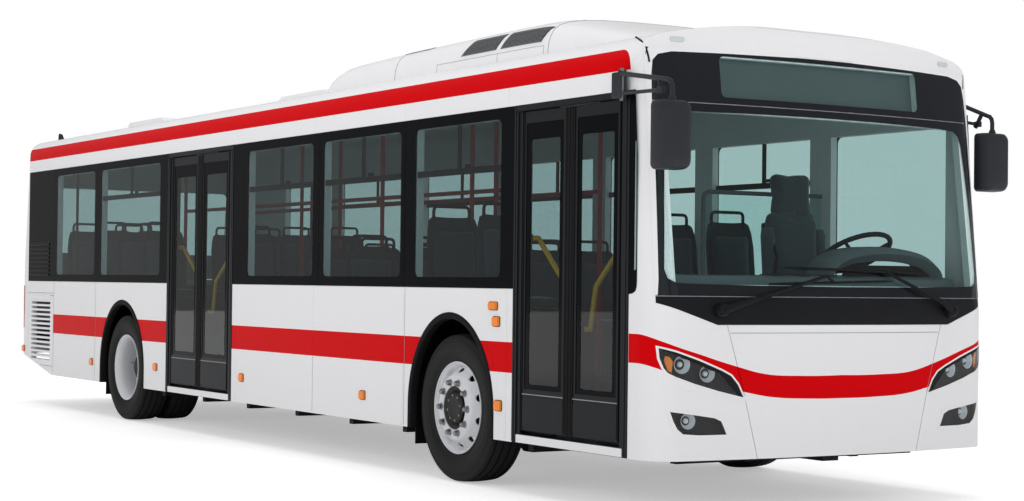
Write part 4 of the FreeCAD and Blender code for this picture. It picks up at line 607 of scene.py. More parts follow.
def draped(outlines, nodes, view, lift, thickness, spacing=0.08):
    """A sheet laid on CAD surfaces: outlines are the outer edge and its holes as (u, v), view
    is "front", "back", "right" or "left"; lift is how far it stands off the surface."""
    ways = {
        "front": (Vector((-1, 0, 0)), lambda u, v: Vector((NOSE + 1, u, v))),
        "back": (Vector((1, 0, 0)), lambda u, v: Vector((TAIL - 1, u, v))),
        "right": (Vector((0, 1, 0)), lambda u, v: Vector((u, -SIDE - 1, v))),
        "left": (Vector((0, -1, 0)), lambda u, v: Vector((u, SIDE + 1, v))),
    }
    way, start = ways[view]
    dense = []
    for outline in outlines:
        ring = []
        for k, here in enumerate(outline):
            there = outline[(k + 1) % len(outline)]
            parts = max(1, math.ceil(math.dist(here, there) / spacing))
            ring += [(here[0] + (there[0] - here[0]) * i / parts,
                      here[1] + (there[1] - here[1]) * i / parts) for i in range(parts)]
        dense.append(ring)
    verts, edges = linked(dense)
    outer, holes = outlines[0], outlines[1:]
    low_u, high_u = min(p[0] for p in outer), max(p[0] for p in outer)
    low_v, high_v = min(p[1] for p in outer), max(p[1] for p in outer)

    def covered(point):
        return point_in(point, outer) and not any(point_in(point, hole) for hole in holes)

    for i in range(1, int((high_u - low_u) / spacing) + 1):
        for j in range(1, int((high_v - low_v) / spacing) + 1):
            point = (low_u + i * spacing, low_v + j * spacing)
            if covered(point):
                verts.append(point)
    spots, kept = filled(verts, edges, covered)
    points = []
    middle_u, middle_v = (high_u + low_u) / 2, (high_v + low_v) / 2
    for spot in spots:
        # A point that misses the surface is drawn towards the middle until it lands.
        for step in range(40):
            share = 1 - 0.0015 * step
            origin = start(middle_u + (spot[0] - middle_u) * share,
                           middle_v + (spot[1] - middle_v) * share)
            found = landing(nodes, origin, way)
            if found:
                break
        points.append((found[0] if found else origin + way) - way * lift)
    sheet = Shape()
    back, front = (sheet.points(p - way * depth for p in points) for depth in (0, thickness))
    thicken(sheet, kept, back, front)
    return sheet


# ---------------------------------------------------------------- the CAD nodes' finishes

FINISHES = {
    "livery": ("side_wall_left", "side_wall_right", "roof_panel", "front_mask", "front_panel",
               "front_corner_panels", "rear_wall", "engine_door", "radiator_flap",
               "air_conditioner", "roof_hatches"),
    "glass_tinted": ("side_windows_left", "side_windows_right", "rear_window",
                     "front_door_glass_front", "front_door_glass_rear",
                     "rear_door_glass_front", "rear_door_glass_rear"),
    "glass_screen": ("front_glass",),
    "lens_clear": ("lamp_lenses",),
    "acrylic_red_moulded": ("tail_lamps",),
    "abs_moulded_black": ("front_lamps", "mirrors", "wipers", "wiper_panel", "dashboard",
                          "steering_wheel", "driver_seat", "driver_partition",
                          "wheel_housings"),
    "anthracite_enamel_satin": ("door_frames", "front_door_leaf_front", "front_door_leaf_rear",
                                "rear_door_leaf_front", "rear_door_leaf_rear"),
    "polypropylene_moulded": ("passenger_seats",),
    "powder_coat_red": ("handrails",),
    "epdm_rubber_extruded": ("mudflaps", "wheel_arch_trims", "air_springs"),
    "tyre_rubber_moulded": ("front_tyre_left", "front_tyre_right", "rear_tyres_left",
                            "rear_tyres_right"),
    "silver_lacquer_sprayed": ("front_wheel_left", "front_wheel_right", "rear_wheel_left",
                               "rear_wheel_right"),
    "chassis_paint_brushed_on": ("chassis_frame", "front_axle", "rear_axle", "knuckle_left",
                                 "knuckle_right", "tie_rod", "front_door_column_front",
                                 "front_door_column_rear", "rear_door_column_front",
                                 "rear_door_column_rear"),
    "vinyl_sheet_gritted": ("floor",),
    "grey_iron_cast": ("engine_block",),
}


# Nodes with a pale lining on the faces that look into the bus.
LINED = ("side_wall_left", "side_wall_right", "roof_panel", "rear_wall", "front_mask",
         "front_panel", "front_corner_panels")
# Radius and height of the centre of the wheel arches in the side walls.
OPENING = (0.568, 0.520)
# Edges of the frame's nodes that are sharper than this stay sharp, in degrees.
CREASE = 24


class BUS_OT_frame_finishes(bpy.types.Operator):
    """Puts the finishes on the frame's own nodes, with linings on their inner faces"""

    bl_idname = "bus.frame_finishes"
    bl_label = "Frame finishes"

    def execute(self, context):
        for finish, names in FINISHES.items():
            for name in names:
                mesh = NODES[name].data
                mesh.materials.clear()
                mesh.materials.append(MATERIALS[finish])
        for name in LINED:
            mesh = NODES[name].data
            mesh.materials.append(MATERIALS["gel_coat_lining"])
            mesh.materials.append(MATERIALS["abs_moulded_black"])
            for face in mesh.polygons:
                face.material_index = (2 if self.in_arch(face)
                                       else int(self.faces_cabin(face)))
        for thing in NODES.values():
            thing.data.shade_smooth()
            thing.modifiers.new("Weld", "WELD").merge_threshold = 0.00002
            split = thing.modifiers.new("Edges", "EDGE_SPLIT")
            split.split_angle = math.radians(CREASE)
        return {"FINISHED"}

    def in_arch(self, face):
        """True for a face on the edge of a wheel arch."""
        middle = face.center
        away = min(abs(middle.x - FRONT), abs(middle.x - REAR))
        above = max(0.0, middle.z - OPENING[1])
        return (abs(middle.y) > 1.0 and math.hypot(away, above) < OPENING[0] + 0.007
                and abs(face.normal.y) < 0.5 and middle.z < 1.10)

    def faces_cabin(self, face):
        """True for a face that looks into the bus."""
        middle, normal = face.center, face.normal
        to_axis = Vector((0, -middle.y, 1.5 - middle.z))
        ends = 0.0
        if middle.x > FRONT + 1.6:
            ends = -1.0
        if middle.x < REAR - 2.5:
            ends = 1.0
        inward = Vector((ends * 1.5, to_axis.y, to_axis.z)).normalized()
        outer = abs(middle.y) > SIDE - 0.02 or middle.z > 2.72
        return normal.dot(inward) > 0.25 and not outer


# ---------------------------------------------------------------- window borders and seals

# Panes of the bonded windows: rear and front edge, and the clear opening's borders there.
PANES = {
    "a": (FRONT - 0.662, FRONT + 0.732, 0.150, 0.155),
    "b": (FRONT - 1.978, FRONT - 0.662, 0.080, 0.060),
    "c": (REAR + 2.467, FRONT - 1.978, 0.290, 0.100),
    "d": (REAR - 0.700, REAR + 1.063, 0.090, 0.185),
    "e": (REAR - 1.960, REAR - 0.700, 0.070, 0.090),
    "vent": (REAR - 2.775, REAR - 1.960, 0, 0),
    "driver": (FRONT + 0.732, FRONT + 1.954, 0.060, 0.080),
    "middle": (REAR + 1.063, REAR + 2.467, 0.060, 0.060),
}
# Heights of the window band and of its clear openings, half the joint between two panes, the
# borders' thickness and the height of the side walls' lower edge.
BAND = (1.250, 2.372)
SIGHT = (1.320, 2.300)
SEAM = 0.002
FRIT = 0.001
SKIRT = 0.315
# Height of the bar under the sliding top lights, where it isn't the usual one.
BAR = 2.000
BARS = {"d": 2.036}


class BUS_OT_window_borders(bpy.types.Operator):
    """Lays the black ceramic borders on the panes and builds the hopper windows' bars"""

    bl_idname = "bus.window_borders"
    bl_label = "Window borders"

    def execute(self, context):
        for side, names in (("right", ("a", "b", "c", "d", "e", "vent")),
                            ("left", ("a", "b", "c", "d", "e", "driver", "middle", "vent"))):
            way = -1 if side == "right" else 1
            borders, bars = Shape(), Shape()
            for name in names:
                self.border(borders, name, way)
                if name not in ("vent", "driver"):
                    self.hopper(bars, name, way)
            piece(f"window_borders_{side}", borders, "ceramic_frit_fired")
            piece(f"hopper_frames_{side}", bars, "abs_moulded_black", 30)
            self.vent(side, way)
            self.joints(side, way)
        self.front_border()
        self.rear_border()
        return {"FINISHED"}

    def border(self, shape, name, way):
        """A black border with a rounded opening, on a pane's outer face."""
        rear, front, low, high = PANES[name]
        (u0, v0), (u1, v1) = outer = ((rear + SEAM, BAND[0] + SEAM),
                                      (front - SEAM, BAND[1] - SEAM))

        def place(u, v, w):
            return (u, way * (SIDE + 0.0002 + w), v)

        if name == "vent":
            shape.plate([(u0, v0), (u1, v0), (u1, v1), (u0, v1)], FRIT, place)
        else:
            clear = rounded((rear + low, SIGHT[0]), (front - high, SIGHT[1]),
                            sizes().frit_corner)
            ring_plate(shape, outer, clear, place, FRIT)

    def hopper(self, shape, name, way):
        """The sliding top light of a window: a bar, its frame and a latch."""
        rear, front, low, high = PANES[name]
        u0, u1 = rear + low, front - high
        low_y, high_y = off_side(way, -0.009, -0.026)
        middle = (u0 + u1) / 2
        if name == "e":
            # The rearmost window slides: one upright over its full height.
            shape.block((middle - 0.018, low_y, SIGHT[0]), (middle + 0.018, high_y, SIGHT[1]),
                        0.004)
            return
        v = BARS.get(name, BAR)
        shape.block((u0, low_y, v - 0.021), (u1, high_y, v + 0.021), 0.004)
        shape.block((middle - 0.016, low_y, v), (middle + 0.016, high_y, SIGHT[1]), 0.004)
        low_y, high_y = off_side(way, -0.026, -0.040)
        shape.block((middle + 0.05, low_y, v + 0.022), (middle + 0.11, high_y, v + 0.046), 0.003)

    def vent(self, side, way):
        """Slanted louvres on the dark panel over the radiator."""
        shape = Shape()
        for k in range(8):
            z = 1.312 + 0.0435 * k
            ribbon(shape, [[(FRONT + x, way * (SIDE + out), z + rise) for x in (-8.725, -8.110)]
                           for out, rise in ((0.0004, 0.000), (0.0125, -0.004), (0.0135, 0.000),
                                             (0.0004, 0.030))])
        piece(f"vent_louvres_{side}", shape, "abs_moulded_black", 30)

    def joints(self, side, way):
        """The sealed joints between the side's outer panels."""
        shape = Shape()
        low_y, high_y = off_side(way, 0.0001, 0.0007)
        upright = ((-7.952, 0.350, 1.248), (-6.735, 0.330, 1.248), (-2.050, 0.330, 0.733),
                   (-0.646, 0.330, 1.248))
        spans = [(x - 0.002, x + 0.002, low, high) for x, low, high in upright]
        for rear, front, low, high in spans + [(-8.780, -7.955, 1.131, 1.135)]:
            shape.block((FRONT + rear, low_y, low), (FRONT + front, high_y, high), 0.0001)
        piece(f"panel_joints_{side}", shape, "grey_joint_sealant", 30)

    def front_border(self):
        """The windscreen's and the destination glass's border."""
        screen = [(-1.2285, 1.2245), (1.2285, 1.2245), (1.2285, 2.3112), (-1.2285, 2.3112)]
        half = [(0.0, 1.284), (0.58, 1.287), (0.98, 1.293), (1.125, 1.297), (1.172, 1.322),
                (1.188, 1.372), (1.182, 1.480), (1.167, 1.760), (1.150, 1.990),
                (1.136, 2.160), (1.116, 2.218), (1.070, 2.250), (0.950, 2.260), (0.5, 2.266),
                (0.0, 2.268)]
        clear = half + [(-y, z) for y, z in reversed(half[1:-1])]
        sign = [(-1.2285, 2.3128), (1.2285, 2.3128), (1.2285, 2.6145), (-1.2285, 2.6145)]
        window = rounded((-0.752, 2.352), (0.752, 2.588), 0.03, 4)
        for name, outlines in (("windscreen", [screen, clear]), ("destination", [sign, window])):
            sheet = draped(outlines, ("front_glass",), "front", 0.0004, 0.001, 0.06)
            piece(f"{name}_border", sheet, "ceramic_frit_sun_band", 40)
        board = draped([rounded((-0.820, 2.330), (0.820, 2.600), 0.02, 3)], ("front_glass",),
                       "front", -0.060, 0.006, 0.06)
        piece("destination_board", board, "frame_paint_grey", 40)

    def rear_border(self):
        """The rear window's border."""
        outer = [(-1.046, 1.484), (1.046, 1.484), (1.046, 2.296), (-1.046, 2.296)]
        clear = rounded((-0.978, 1.552), (0.978, 2.228), 0.05)
        sheet = draped([outer, clear], ("rear_window",), "back", 0.0004, 0.001, 0.1)
        piece("rear_window_border", sheet, "ceramic_frit_fired", 40)


# ---------------------------------------------------------------- wheels and tyres

# Middle of a front or outer rear tyre from the bus's middle, and the inner rear tyre's place
# from it; radii of the tyre, the disc's bore and edge, its studs and its hand holes.
WHEEL_Y = 1.117
TWIN = 0.310
TYRE = 0.478
BORE = 0.1405
DISC = 0.2635
STUDS = 0.1675
HAND_HOLES = 0.2395
STUD_COUNT = 10


def tyre_profile():
    """The tyre's section as (radius, place across it), from the inner bead round."""
    half = [(0.2905, 0.000), (0.2905, 0.098), (0.2985, 0.1045), (0.3030, 0.1100),
            (0.3120, 0.1135), (0.3230, 0.1155), (0.3260, 0.1185), (0.3300, 0.1190),
            (0.3330, 0.1215), (0.3480, 0.1285), (0.3485, 0.1302), (0.3530, 0.1318),
            (0.3545, 0.1312), (0.3760, 0.1362), (0.3950, 0.1378), (0.4110, 0.1372),
            (0.4250, 0.1345), (0.4300, 0.1328), (0.4306, 0.1352), (0.4390, 0.1335),
            (0.4396, 0.1305), (0.4480, 0.1275), (0.4560, 0.1245), (0.4640, 0.1205),
            (0.4690, 0.1160), (0.4715, 0.1110)]
    tread = []
    depth = sizes().tread_depth
    for groove in (0.0830, 0.0280):
        for across, sunk in ((groove + 0.0075, 0), (groove + 0.0060, 1), (groove - 0.0060, 1),
                             (groove - 0.0075, 0)):
            tread.append((TYRE - 0.47 * across ** 2 - sunk * depth, across))
    side = half + tread
    return side + [(r, -a) for r, a in side[::-1]][:-1]


def pressed_disc(shape, circles, holes, height, spacing, thickness, place):
    """A disc between two circles, the larger first, with holes: each point is raised by
    height(radius)."""
    verts, edges = linked(circles + holes)
    outer, inner = (math.hypot(*ring[0]) for ring in circles)
    clearances = [(sum(p[0] for p in ring) / len(ring), sum(p[1] for p in ring) / len(ring),
                   max(math.dist(p, ring[0]) for p in ring) / 2 + 0.003) for ring in holes]
    radius = inner + spacing
    while radius < outer - spacing * 0.4:
        verts += [point for point in circle(radius, 60, 0.5)
                  if all(math.dist(point, c[:2]) > c[2] for c in clearances)]
        radius += spacing

    def pressed(point):
        return (inner < math.hypot(*point) < outer
                and not any(point_in(point, ring) for ring in holes))

    spots, kept = filled(verts, edges, pressed)
    front, back = (shape.points(place(*p, height(math.hypot(*p)) - depth) for p in spots)
                   for depth in (0, thickness))
    thicken(shape, kept, front, back)


def read_off(value, table):
    """A value read off a table of (place, value) pairs, straight between them."""
    for (x0, y0), (x1, y1) in zip(table, table[1:]):
        if value <= x1:
            return y0 + (y1 - y0) * max(0.0, (value - x0) / (x1 - x0))
    return table[-1][1]


# The discs and the barrel as (radius, place across the wheel).
FRONT_DISC = ((0.140, 0.1400), (0.196, 0.1400), (0.204, 0.1385), (0.211, 0.1340),
              (0.217, 0.1270), (0.224, 0.1160), (0.233, 0.1010), (0.243, 0.0860),
              (0.253, 0.0740), (0.264, 0.0660))
REAR_DISC = tuple((radius, -out - 0.003) for radius, out in FRONT_DISC)
BARREL = ((0.2975, 0.1085), (0.2990, 0.1150), (0.2965, 0.1195), (0.2915, 0.1190),
          (0.2885, 0.1140), (0.2850, 0.1070), (0.2795, 0.1040), (0.2740, 0.0960),
          (0.2700, 0.0860), (0.2640, 0.0760), (0.2600, 0.0640), (0.2600, 0.0300),
          (0.2600, -0.060), (0.2740, -0.0860), (0.2795, -0.1040), (0.2885, -0.1140),
          (0.2965, -0.1195), (0.2990, -0.1150), (0.2975, -0.1085), (0.2860, -0.0980),
          (0.2680, -0.0600), (0.2680, 0.0640), (0.2860, 0.0980))


class BUS_OT_wheels(bpy.types.Operator):
    """Builds the ribbed tyres and the ten-stud wheels on their hubs"""

    bl_idname = "bus.wheels"
    bl_label = "Wheels"

    def execute(self, context):
        for side, way in (("left", 1), ("right", -1)):
            front, rear = ((x, way * WHEEL_Y, AXLE_Z) for x in (FRONT, REAR))
            self.tyres("front", side, front, way, (0,))
            self.tyres("rear", side, rear, way, (0, -TWIN))
            self.wheel("front", side, front, way)
            self.wheel("rear", side, rear, way)
        return {"FINISHED"}

    def spinning(self, end, side):
        """The body that turns with a wheel."""
        return f"front_wheel_{side}" if end == "front" else f"rear_wheels_{side}"

    def tyres(self, end, side, centre, way, places):
        """One or two tyres of a wheel body."""
        shape = Shape()
        for offset in places:
            middle = (centre[0], centre[1] + way * offset, centre[2])
            shape.lathe(tyre_profile(), middle, (0, way, 0), 96, closed=True)
        body = self.spinning(end, side)
        thing = piece(f"tyre_{end}_{side}", shape, "tyre_rubber_moulded", 32, body)
        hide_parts(f"front_tyre_{side}" if end == "front" else f"rear_tyres_{side}")

    def wheel(self, end, side, centre, way):
        """The pressed disc with its hand holes in the barrel, the nuts and the hub."""
        shape = Shape()
        axis = (0, way, 0)

        def place(u, v, w):
            return (centre[0] + u, centre[1] + way * w, centre[2] + v)

        table = FRONT_DISC if end == "front" else REAR_DISC
        shape.lathe(BARREL, centre, axis, 72, closed=True)
        holes = []
        for cos, sin in circle(1, STUD_COUNT, 0.5):
            ring = []
            for along, out in circle(1, 16):
                along, out = 0.0265 * along, 0.0150 * out
                ring.append(((HAND_HOLES + out) * cos - along * sin,
                             (HAND_HOLES + out) * sin + along * cos))
            holes.append(ring)
        pressed_disc(shape, [circle(DISC, 60), circle(BORE, 60)], holes,
                     lambda r: read_off(r, table), 0.0085, 0.011, place)
        if end == "rear":
            inner = (centre[0], centre[1] - way * TWIN, centre[2])
            shape.lathe(BARREL, inner, axis, 48, closed=True)
            shape.lathe([(r, -w) for r, w in REAR_DISC] + [(r, 0.011 - w)
                        for r, w in REAR_DISC[::-1]], inner, axis, 48, closed=True)
        face = table[0][1]
        for u, v in circle(STUDS, STUD_COUNT):
            spot = place(u, v, face)
            shape.lathe(((0.0, -0.004), (0.0235, -0.004), (0.0235, 0.004), (0.0215, 0.0065),
                         (0.0180, 0.0070), (0.0180, 0.0200), (0.0165, 0.0260),
                         (0.0115, 0.0310), (0.0, 0.0325)), spot, axis, 12, 1)
        self.hub(shape, end, centre, way, face)
        shape.tube([place(-0.247, 0.03, table[-1][1] - 0.004),
                    place(-0.252, 0.03, table[-1][1] + 0.018),
                    place(-0.256, 0.03, table[-1][1] + 0.040)], [0.0035, 0.0035, 0.005], 8,
                   index=1)
        body = self.spinning(end, side)
        thing = piece(f"wheel_{end}_{side}", shape,
                      ["silver_lacquer_sprayed", "zinc_plated_steel", "grey_iron_cast"],
                      36, body)
        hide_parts(f"{end}_wheel_{side}")

    def hub(self, shape, end, centre, way, face):
        """The hub that fills the bore, its cap and the cap's screws."""
        axis = (0, way, 0)
        if end == "front":
            profile = ((0.0, face - 0.150), (0.170, face - 0.150), (0.170, face - 0.012),
                       (0.1385, face - 0.012), (0.1385, face - 0.004), (0.122, face - 0.010),
                       (0.104, face - 0.034), (0.098, face - 0.034), (0.098, face - 0.010),
                       (0.090, face - 0.002), (0.072, face + 0.004), (0.060, face - 0.002),
                       (0.0, face - 0.006))
        else:
            profile = ((0.0, face - 0.160), (0.200, face - 0.160), (0.200, face - 0.013),
                       (0.1385, face - 0.013), (0.1385, face + 0.006), (0.128, face + 0.016),
                       (0.122, face + 0.120), (0.112, face + 0.128), (0.112, face + 0.140),
                       (0.098, face + 0.148), (0.058, face + 0.156), (0.052, face + 0.170),
                       (0.0, face + 0.174))
        shape.lathe(profile, centre, axis, 48, 2)
        ring, lift = (0.081, 0.002) if end == "front" else (0.106, 0.139)
        for u, v in circle(ring, 8, 0.25):
            spot = (centre[0] + u, centre[1] + way * (face + lift - 0.004), centre[2] + v)
            shape.lathe(((0.0, 0.0), (0.008, 0.0), (0.008, 0.007), (0.0, 0.0085)), spot, axis, 6,
                        1)


# ---------------------------------------------------------------- lamps and markers

HEADLAMPS = (
    # x from the front axle where no lens is met, y, z, radius of the reflector
    (2.249, 0.924, 0.794, 0.046),
    (2.219, 1.085, 0.846, 0.049),
    (2.214, 1.044, 0.534, 0.044),
)
MARKERS = (
    # x from the front axle, z, width, height
    (0.503, 1.142, 0.100, 0.046),
    (0.541, 1.046, 0.082, 0.058),
    (0.574, 0.527, 0.082, 0.062),
    (-1.247, 0.491, 0.082, 0.058),
    (-3.329, 0.513, 0.082, 0.058),
    (-5.178, 0.516, 0.082, 0.058),
    (-6.823, 0.496, 0.082, 0.058),
    (-8.890, 0.553, 0.074, 0.058),
)


class BUS_OT_lamps(bpy.types.Operator):
    """Builds reflectors, indicators, side markers and the tail lamps' lenses"""

    bl_idname = "bus.lamps"
    bl_label = "Lamps"

    def execute(self, context):
        for side, way in SIDES:
            self.bowls(side, way)
            self.indicator(side, way)
            self.tail(side, way)
            self.markers(side, way)
        self.roof_lamps()
        return {"FINISHED"}

    def bowls(self, side, way):
        """The round lamps: a bezel, a bright bowl with its flutes and the capsule."""
        shape = Shape()
        for x, y, z, r in HEADLAMPS:
            face = landing(("lamp_lenses",), (NOSE + 1, way * y, z), (-1, 0, 0))
            spot = Vector((face[0].x - 0.030 if face else FRONT + x, way * y, z))
            aim = Vector((1, way * 0.16, 0)).normalized()
            shape.lathe(((r + 0.016, -0.016), (r + 0.014, -0.002), (r + 0.009, 0.010),
                         (r + 0.005, 0.013), (r + 0.001, 0.011), (r + 0.001, -0.004)),
                        spot, aim, 40, 1)
            shape.lathe(((r + 0.003, 0.009), (r + 0.001, 0.012), (r - 0.002, 0.010),
                         (r - 0.006, 0.000), (r - 0.014, -0.014), (r - 0.026, -0.026),
                         (0.010, -0.036), (0.0, -0.037)), spot, aim, 40, 0)
            shape.lathe(((0.0, -0.040), (0.015, -0.036), (0.017, -0.014), (0.012, -0.006),
                         (0.0, -0.003)), spot, aim, 20, 0)
            across = aim.cross(Vector((0, 0, 1))).normalized()
            over = across.cross(aim)
            for u, v in circle(1, 18):
                out = u * across + v * over
                shape.tube([spot + out * (r - 0.004) - aim * 0.001,
                            spot + out * (r - 0.013) - aim * 0.0135,
                            spot + out * (r - 0.025) - aim * 0.0255], 0.0017, 5, index=0)
        piece(f"lamp_bowls_{side}", shape, ["reflector_metallised", "abs_moulded_black"],
              40)

    def indicator(self, side, way):
        """The amber indicator at the outer end of the headlamp."""
        outline = [(way * y, z) for y, z in ((1.150, 0.802), (1.170, 0.812), (1.187, 0.868),
                                             (1.182, 0.893), (1.160, 0.888), (1.143, 0.862))]
        sheet = draped([outline], ("lamp_lenses",), "front", -0.022, 0.006, 0.02)
        piece(f"indicator_{side}", sheet, "acrylic_amber_moulded", 40)

    def tail(self, side, way):
        """Four lenses stacked on the tail lamp, and the one round the corner beside them."""
        for name, low, high, finish in (("stop", 1.022, 1.204, "acrylic_red_moulded"),
                                        ("turn", 0.906, 1.014, "acrylic_amber_moulded"),
                                        ("reverse", 0.846, 0.898, "acrylic_white_moulded"),
                                        ("fog", 0.766, 0.838, "acrylic_red_moulded")):
            corners = rounded((1.056, low), (1.229, high), 0.012, 3)
            outline = [(way * y, z) for y, z in corners]
            sheet = draped([outline], ("tail_lamps",), "back", 0.0005, 0.006, 0.03)
            piece(f"tail_{name}_{side}", sheet, finish, 30)
        wrap = draped([[(TAIL + 0.035, 0.766), (TAIL + 0.110, 0.766), (TAIL + 0.120, 1.204),
                        (TAIL + 0.045, 1.204)]], ("tail_lamps", "rear_wall", f"side_wall_{side}"),
                      side, 0.0005, 0.005, 0.02)
        piece(f"tail_wrap_{side}", wrap, "acrylic_red_moulded", 30)

    def markers(self, side, way):
        """Amber side markers on black gaskets."""
        shape = Shape()
        for x, z, width, height in MARKERS:
            if side == "left" and x > 0:
                continue
            centre = Vector((FRONT + x, way * SIDE, z))
            for index, grow, low, high, inset in ((1, 0.004, -0.001, 0.003, 0.0),
                                                  (0, 0.0, 0.003, 0.012, 0.0),
                                                  (0, 0.0, 0.012, 0.016, 0.006)):
                half_w = width / 2 + grow - inset
                half_h = height / 2 + grow - inset
                outline = rounded((-half_w, -half_h), (half_w, half_h),
                                  min(half_w, half_h) * 0.45, 4)
                shape.plate(outline, high - low,
                            lambda u, v, w, c=centre, b=low: (c.x + u, c.y + way * (b + w),
                                                              c.z + v), index)
        piece(f"side_markers_{side}", shape, ["acrylic_amber_moulded", "epdm_rubber_extruded"],
              30)

    def roof_lamps(self):
        """End-outline markers: two white ones over the screen and two red ones behind."""
        for name, view, y, z, finish in (("front", "front", 1.02, 2.668, "acrylic_white_moulded"),
                                         ("rear", "back", 1.00, 2.600, "acrylic_red_moulded")):
            for side, way in SIDES:
                outline = [(way * y + u, z + v) for u, v in
                           rounded((-0.045, -0.014), (0.045, 0.014), 0.013, 4)]
                sheet = draped([outline], ("front_mask", "roof_panel", "rear_wall"), view,
                               0.0005, 0.009, 0.02)
                piece(f"outline_lamp_{name}_{side}", sheet, finish, 40)


# ---------------------------------------------------------------- door trim

DOORWAYS = {
    # name: rear and front edge of the doorway
    "front": (FRONT + 0.732, FRONT + 1.954),
    "rear": (REAR + 1.063, REAR + 2.467),
}
# A door post's width, a leaf's distance from it, the gap between two leaves, how far the
# leaves lie behind the wall's face, and their foot and top.
POST = 0.050
JAMB_GAP = 0.047
LEAF_GAP = 0.008
LEAF_FACE = 0.006
LEAF_Z = (0.395, 2.325)


class BUS_OT_door_trim(bpy.types.Operator):
    """Adds the doors' glass borders, rubber profiles, kick panels, rails and trim lines"""

    bl_idname = "bus.door_trim"
    bl_label = "Door trim"

    def execute(self, context):
        for door, (rear, front) in DOORWAYS.items():
            leaf = ((front - rear - 2 * POST) - LEAF_GAP) / 2 - JAMB_GAP
            for hinge, jamb, way in (("rear", rear + POST, 1), ("front", front - POST, -1)):
                self.leaf(door, hinge, jamb, way, leaf)
            self.surround(door, rear, front)
        return {"FINISHED"}

    def leaf(self, door, hinge, jamb, way, leaf):
        """One leaf's trim, which rides with the leaf."""
        body = f"{door}_door_leaf_{hinge}"
        near, far = JAMB_GAP, JAMB_GAP + leaf

        def place(u, v, w):
            return (jamb + way * u, -SIDE + LEAF_FACE - w, v)

        border = Shape()
        sheet = ((near + 0.028, LEAF_Z[0] + 0.248), (far - 0.062, LEAF_Z[1] - 0.066))
        clear = rounded((sheet[0][0] + 0.045, sheet[0][1] + 0.032),
                        (sheet[1][0] - 0.050, sheet[1][1] - 0.105), 0.018, 5)
        ring_plate(border, sheet, clear, lambda u, v, w: place(u, v, w - 0.0052), 0.0012)
        piece(f"{body}_border", border, "ceramic_frit_fired", body=body)

        trim = Shape()
        # The kick panel and the bright line along its top edge.
        trim.plate(rounded((near + 0.016, 0.415), (far - 0.050, 0.600), 0.012, 3), 0.003, place)
        trim.plate(rounded((near + 0.012, 0.612), (far - 0.046, 0.618), 0.002, 2), 0.004, place,
                   1)
        # Edge rubbers: a wide one at the meeting edge and a slim one at the jamb.
        for start, end in ((far - 0.046, far - 0.030), (far - 0.026, far + 0.0015),
                           (near + 0.0005, near + 0.010)):
            outline = rounded((start, LEAF_Z[0] + 0.004), (end, LEAF_Z[1] - 0.004), 0.0035, 3)
            trim.plate(outline, 0.0045, place, 2)
        piece(f"{body}_trim", trim,
              ["anthracite_enamel_satin", "zinc_plated_steel", "epdm_rubber_extruded"],
              30, body)
        self.paint_rails(body)

    def paint_rails(self, body):
        """The leaf's own grab rail in yellow."""
        mesh = NODES[body].data
        mesh.materials.append(MATERIALS["powder_coat_yellow"])
        for face in mesh.polygons:
            y, z = face.center.y, face.center.z
            if -SIDE + 0.0405 < y < -SIDE + 0.112 and 0.99 < z < 1.60:
                face.material_index = 1

    def surround(self, door, rear, front):
        """The fixed trim round a doorway: header panel, drip rail and post mouldings."""
        shape = Shape()

        def place(u, v, w):
            return (u, -SIDE - w, v)

        plates = [
            # rear and front edge, foot and top, corner radius and its steps, thickness, finish
            (rear + 0.004, front - 0.004, 2.336, 2.368, 0.004, 2, 0.003, 0),
            (rear + 0.004, front - 0.004, 2.3305, 2.3355, 0.002, 2, 0.007, 1),
            (rear + 0.003, rear + 0.021, 0.322, 2.368, 0.006, 3, 0.0045, 0),
            (rear + 0.029, rear + 0.047, 0.322, 2.326, 0.006, 3, 0.0045, 0),
            (front - 0.021, front - 0.003, 0.322, 2.368, 0.006, 3, 0.0045, 0),
            (front - 0.047, front - 0.029, 0.322, 2.326, 0.006, 3, 0.0045, 0),
            (rear + 0.052, front - 0.052, 0.318, 0.366, 0.004, 2, 0.003, 2),
        ]
        for u0, u1, v0, v1, radius, steps, thickness, index in plates:
            shape.plate(rounded((u0, v0), (u1, v1), radius, steps), thickness, place, index)
        piece(f"{door}_door_surround", shape,
              ["anthracite_enamel_satin", "epdm_rubber_extruded", "livery"],
              30)


# ---------------------------------------------------------------- wheel arches

ARCHES = {
    # x of the axle; rear edge, front edge and crown of the black band, from the axle
    "front": (FRONT, -0.585, 0.520, -0.040),
    "rear": (REAR, -0.585, 0.545, -0.030),
}
# The bands' top, the height where their curve starts, and their width.
ARCH_TOP = 1.094
ARCH_SPRING = 0.470
BAND_WIDTH = 0.044


def arch(centre, back, ahead, spring, rise, steps=56):
    """An arch's outline from its rear foot over the crown to its front foot."""
    points = [(centre - back, SKIRT), (centre - back, (SKIRT + spring) / 2)]
    for k in range(steps + 1):
        turn = math.pi * (1 - k / steps)
        reach = ahead if math.cos(turn) > 0 else back
        points.append((centre + reach * math.cos(turn), spring + rise * math.sin(turn)))
    return points + [(centre + ahead, (SKIRT + spring) / 2), (centre + ahead, SKIRT)]


def arch_line(end, inset):
    """The outline of a wheel arch's black band."""
    axle, rear, front, crown = ARCHES[end]
    return arch(axle + crown, crown - rear - inset, front - inset - crown, ARCH_SPRING,
                ARCH_TOP - inset - ARCH_SPRING)


def opening_line(end, grow):
    """The outline of the wall's own opening, with as many points."""
    radius = OPENING[0] + grow
    return arch(ARCHES[end][0], radius, radius, OPENING[1], radius)


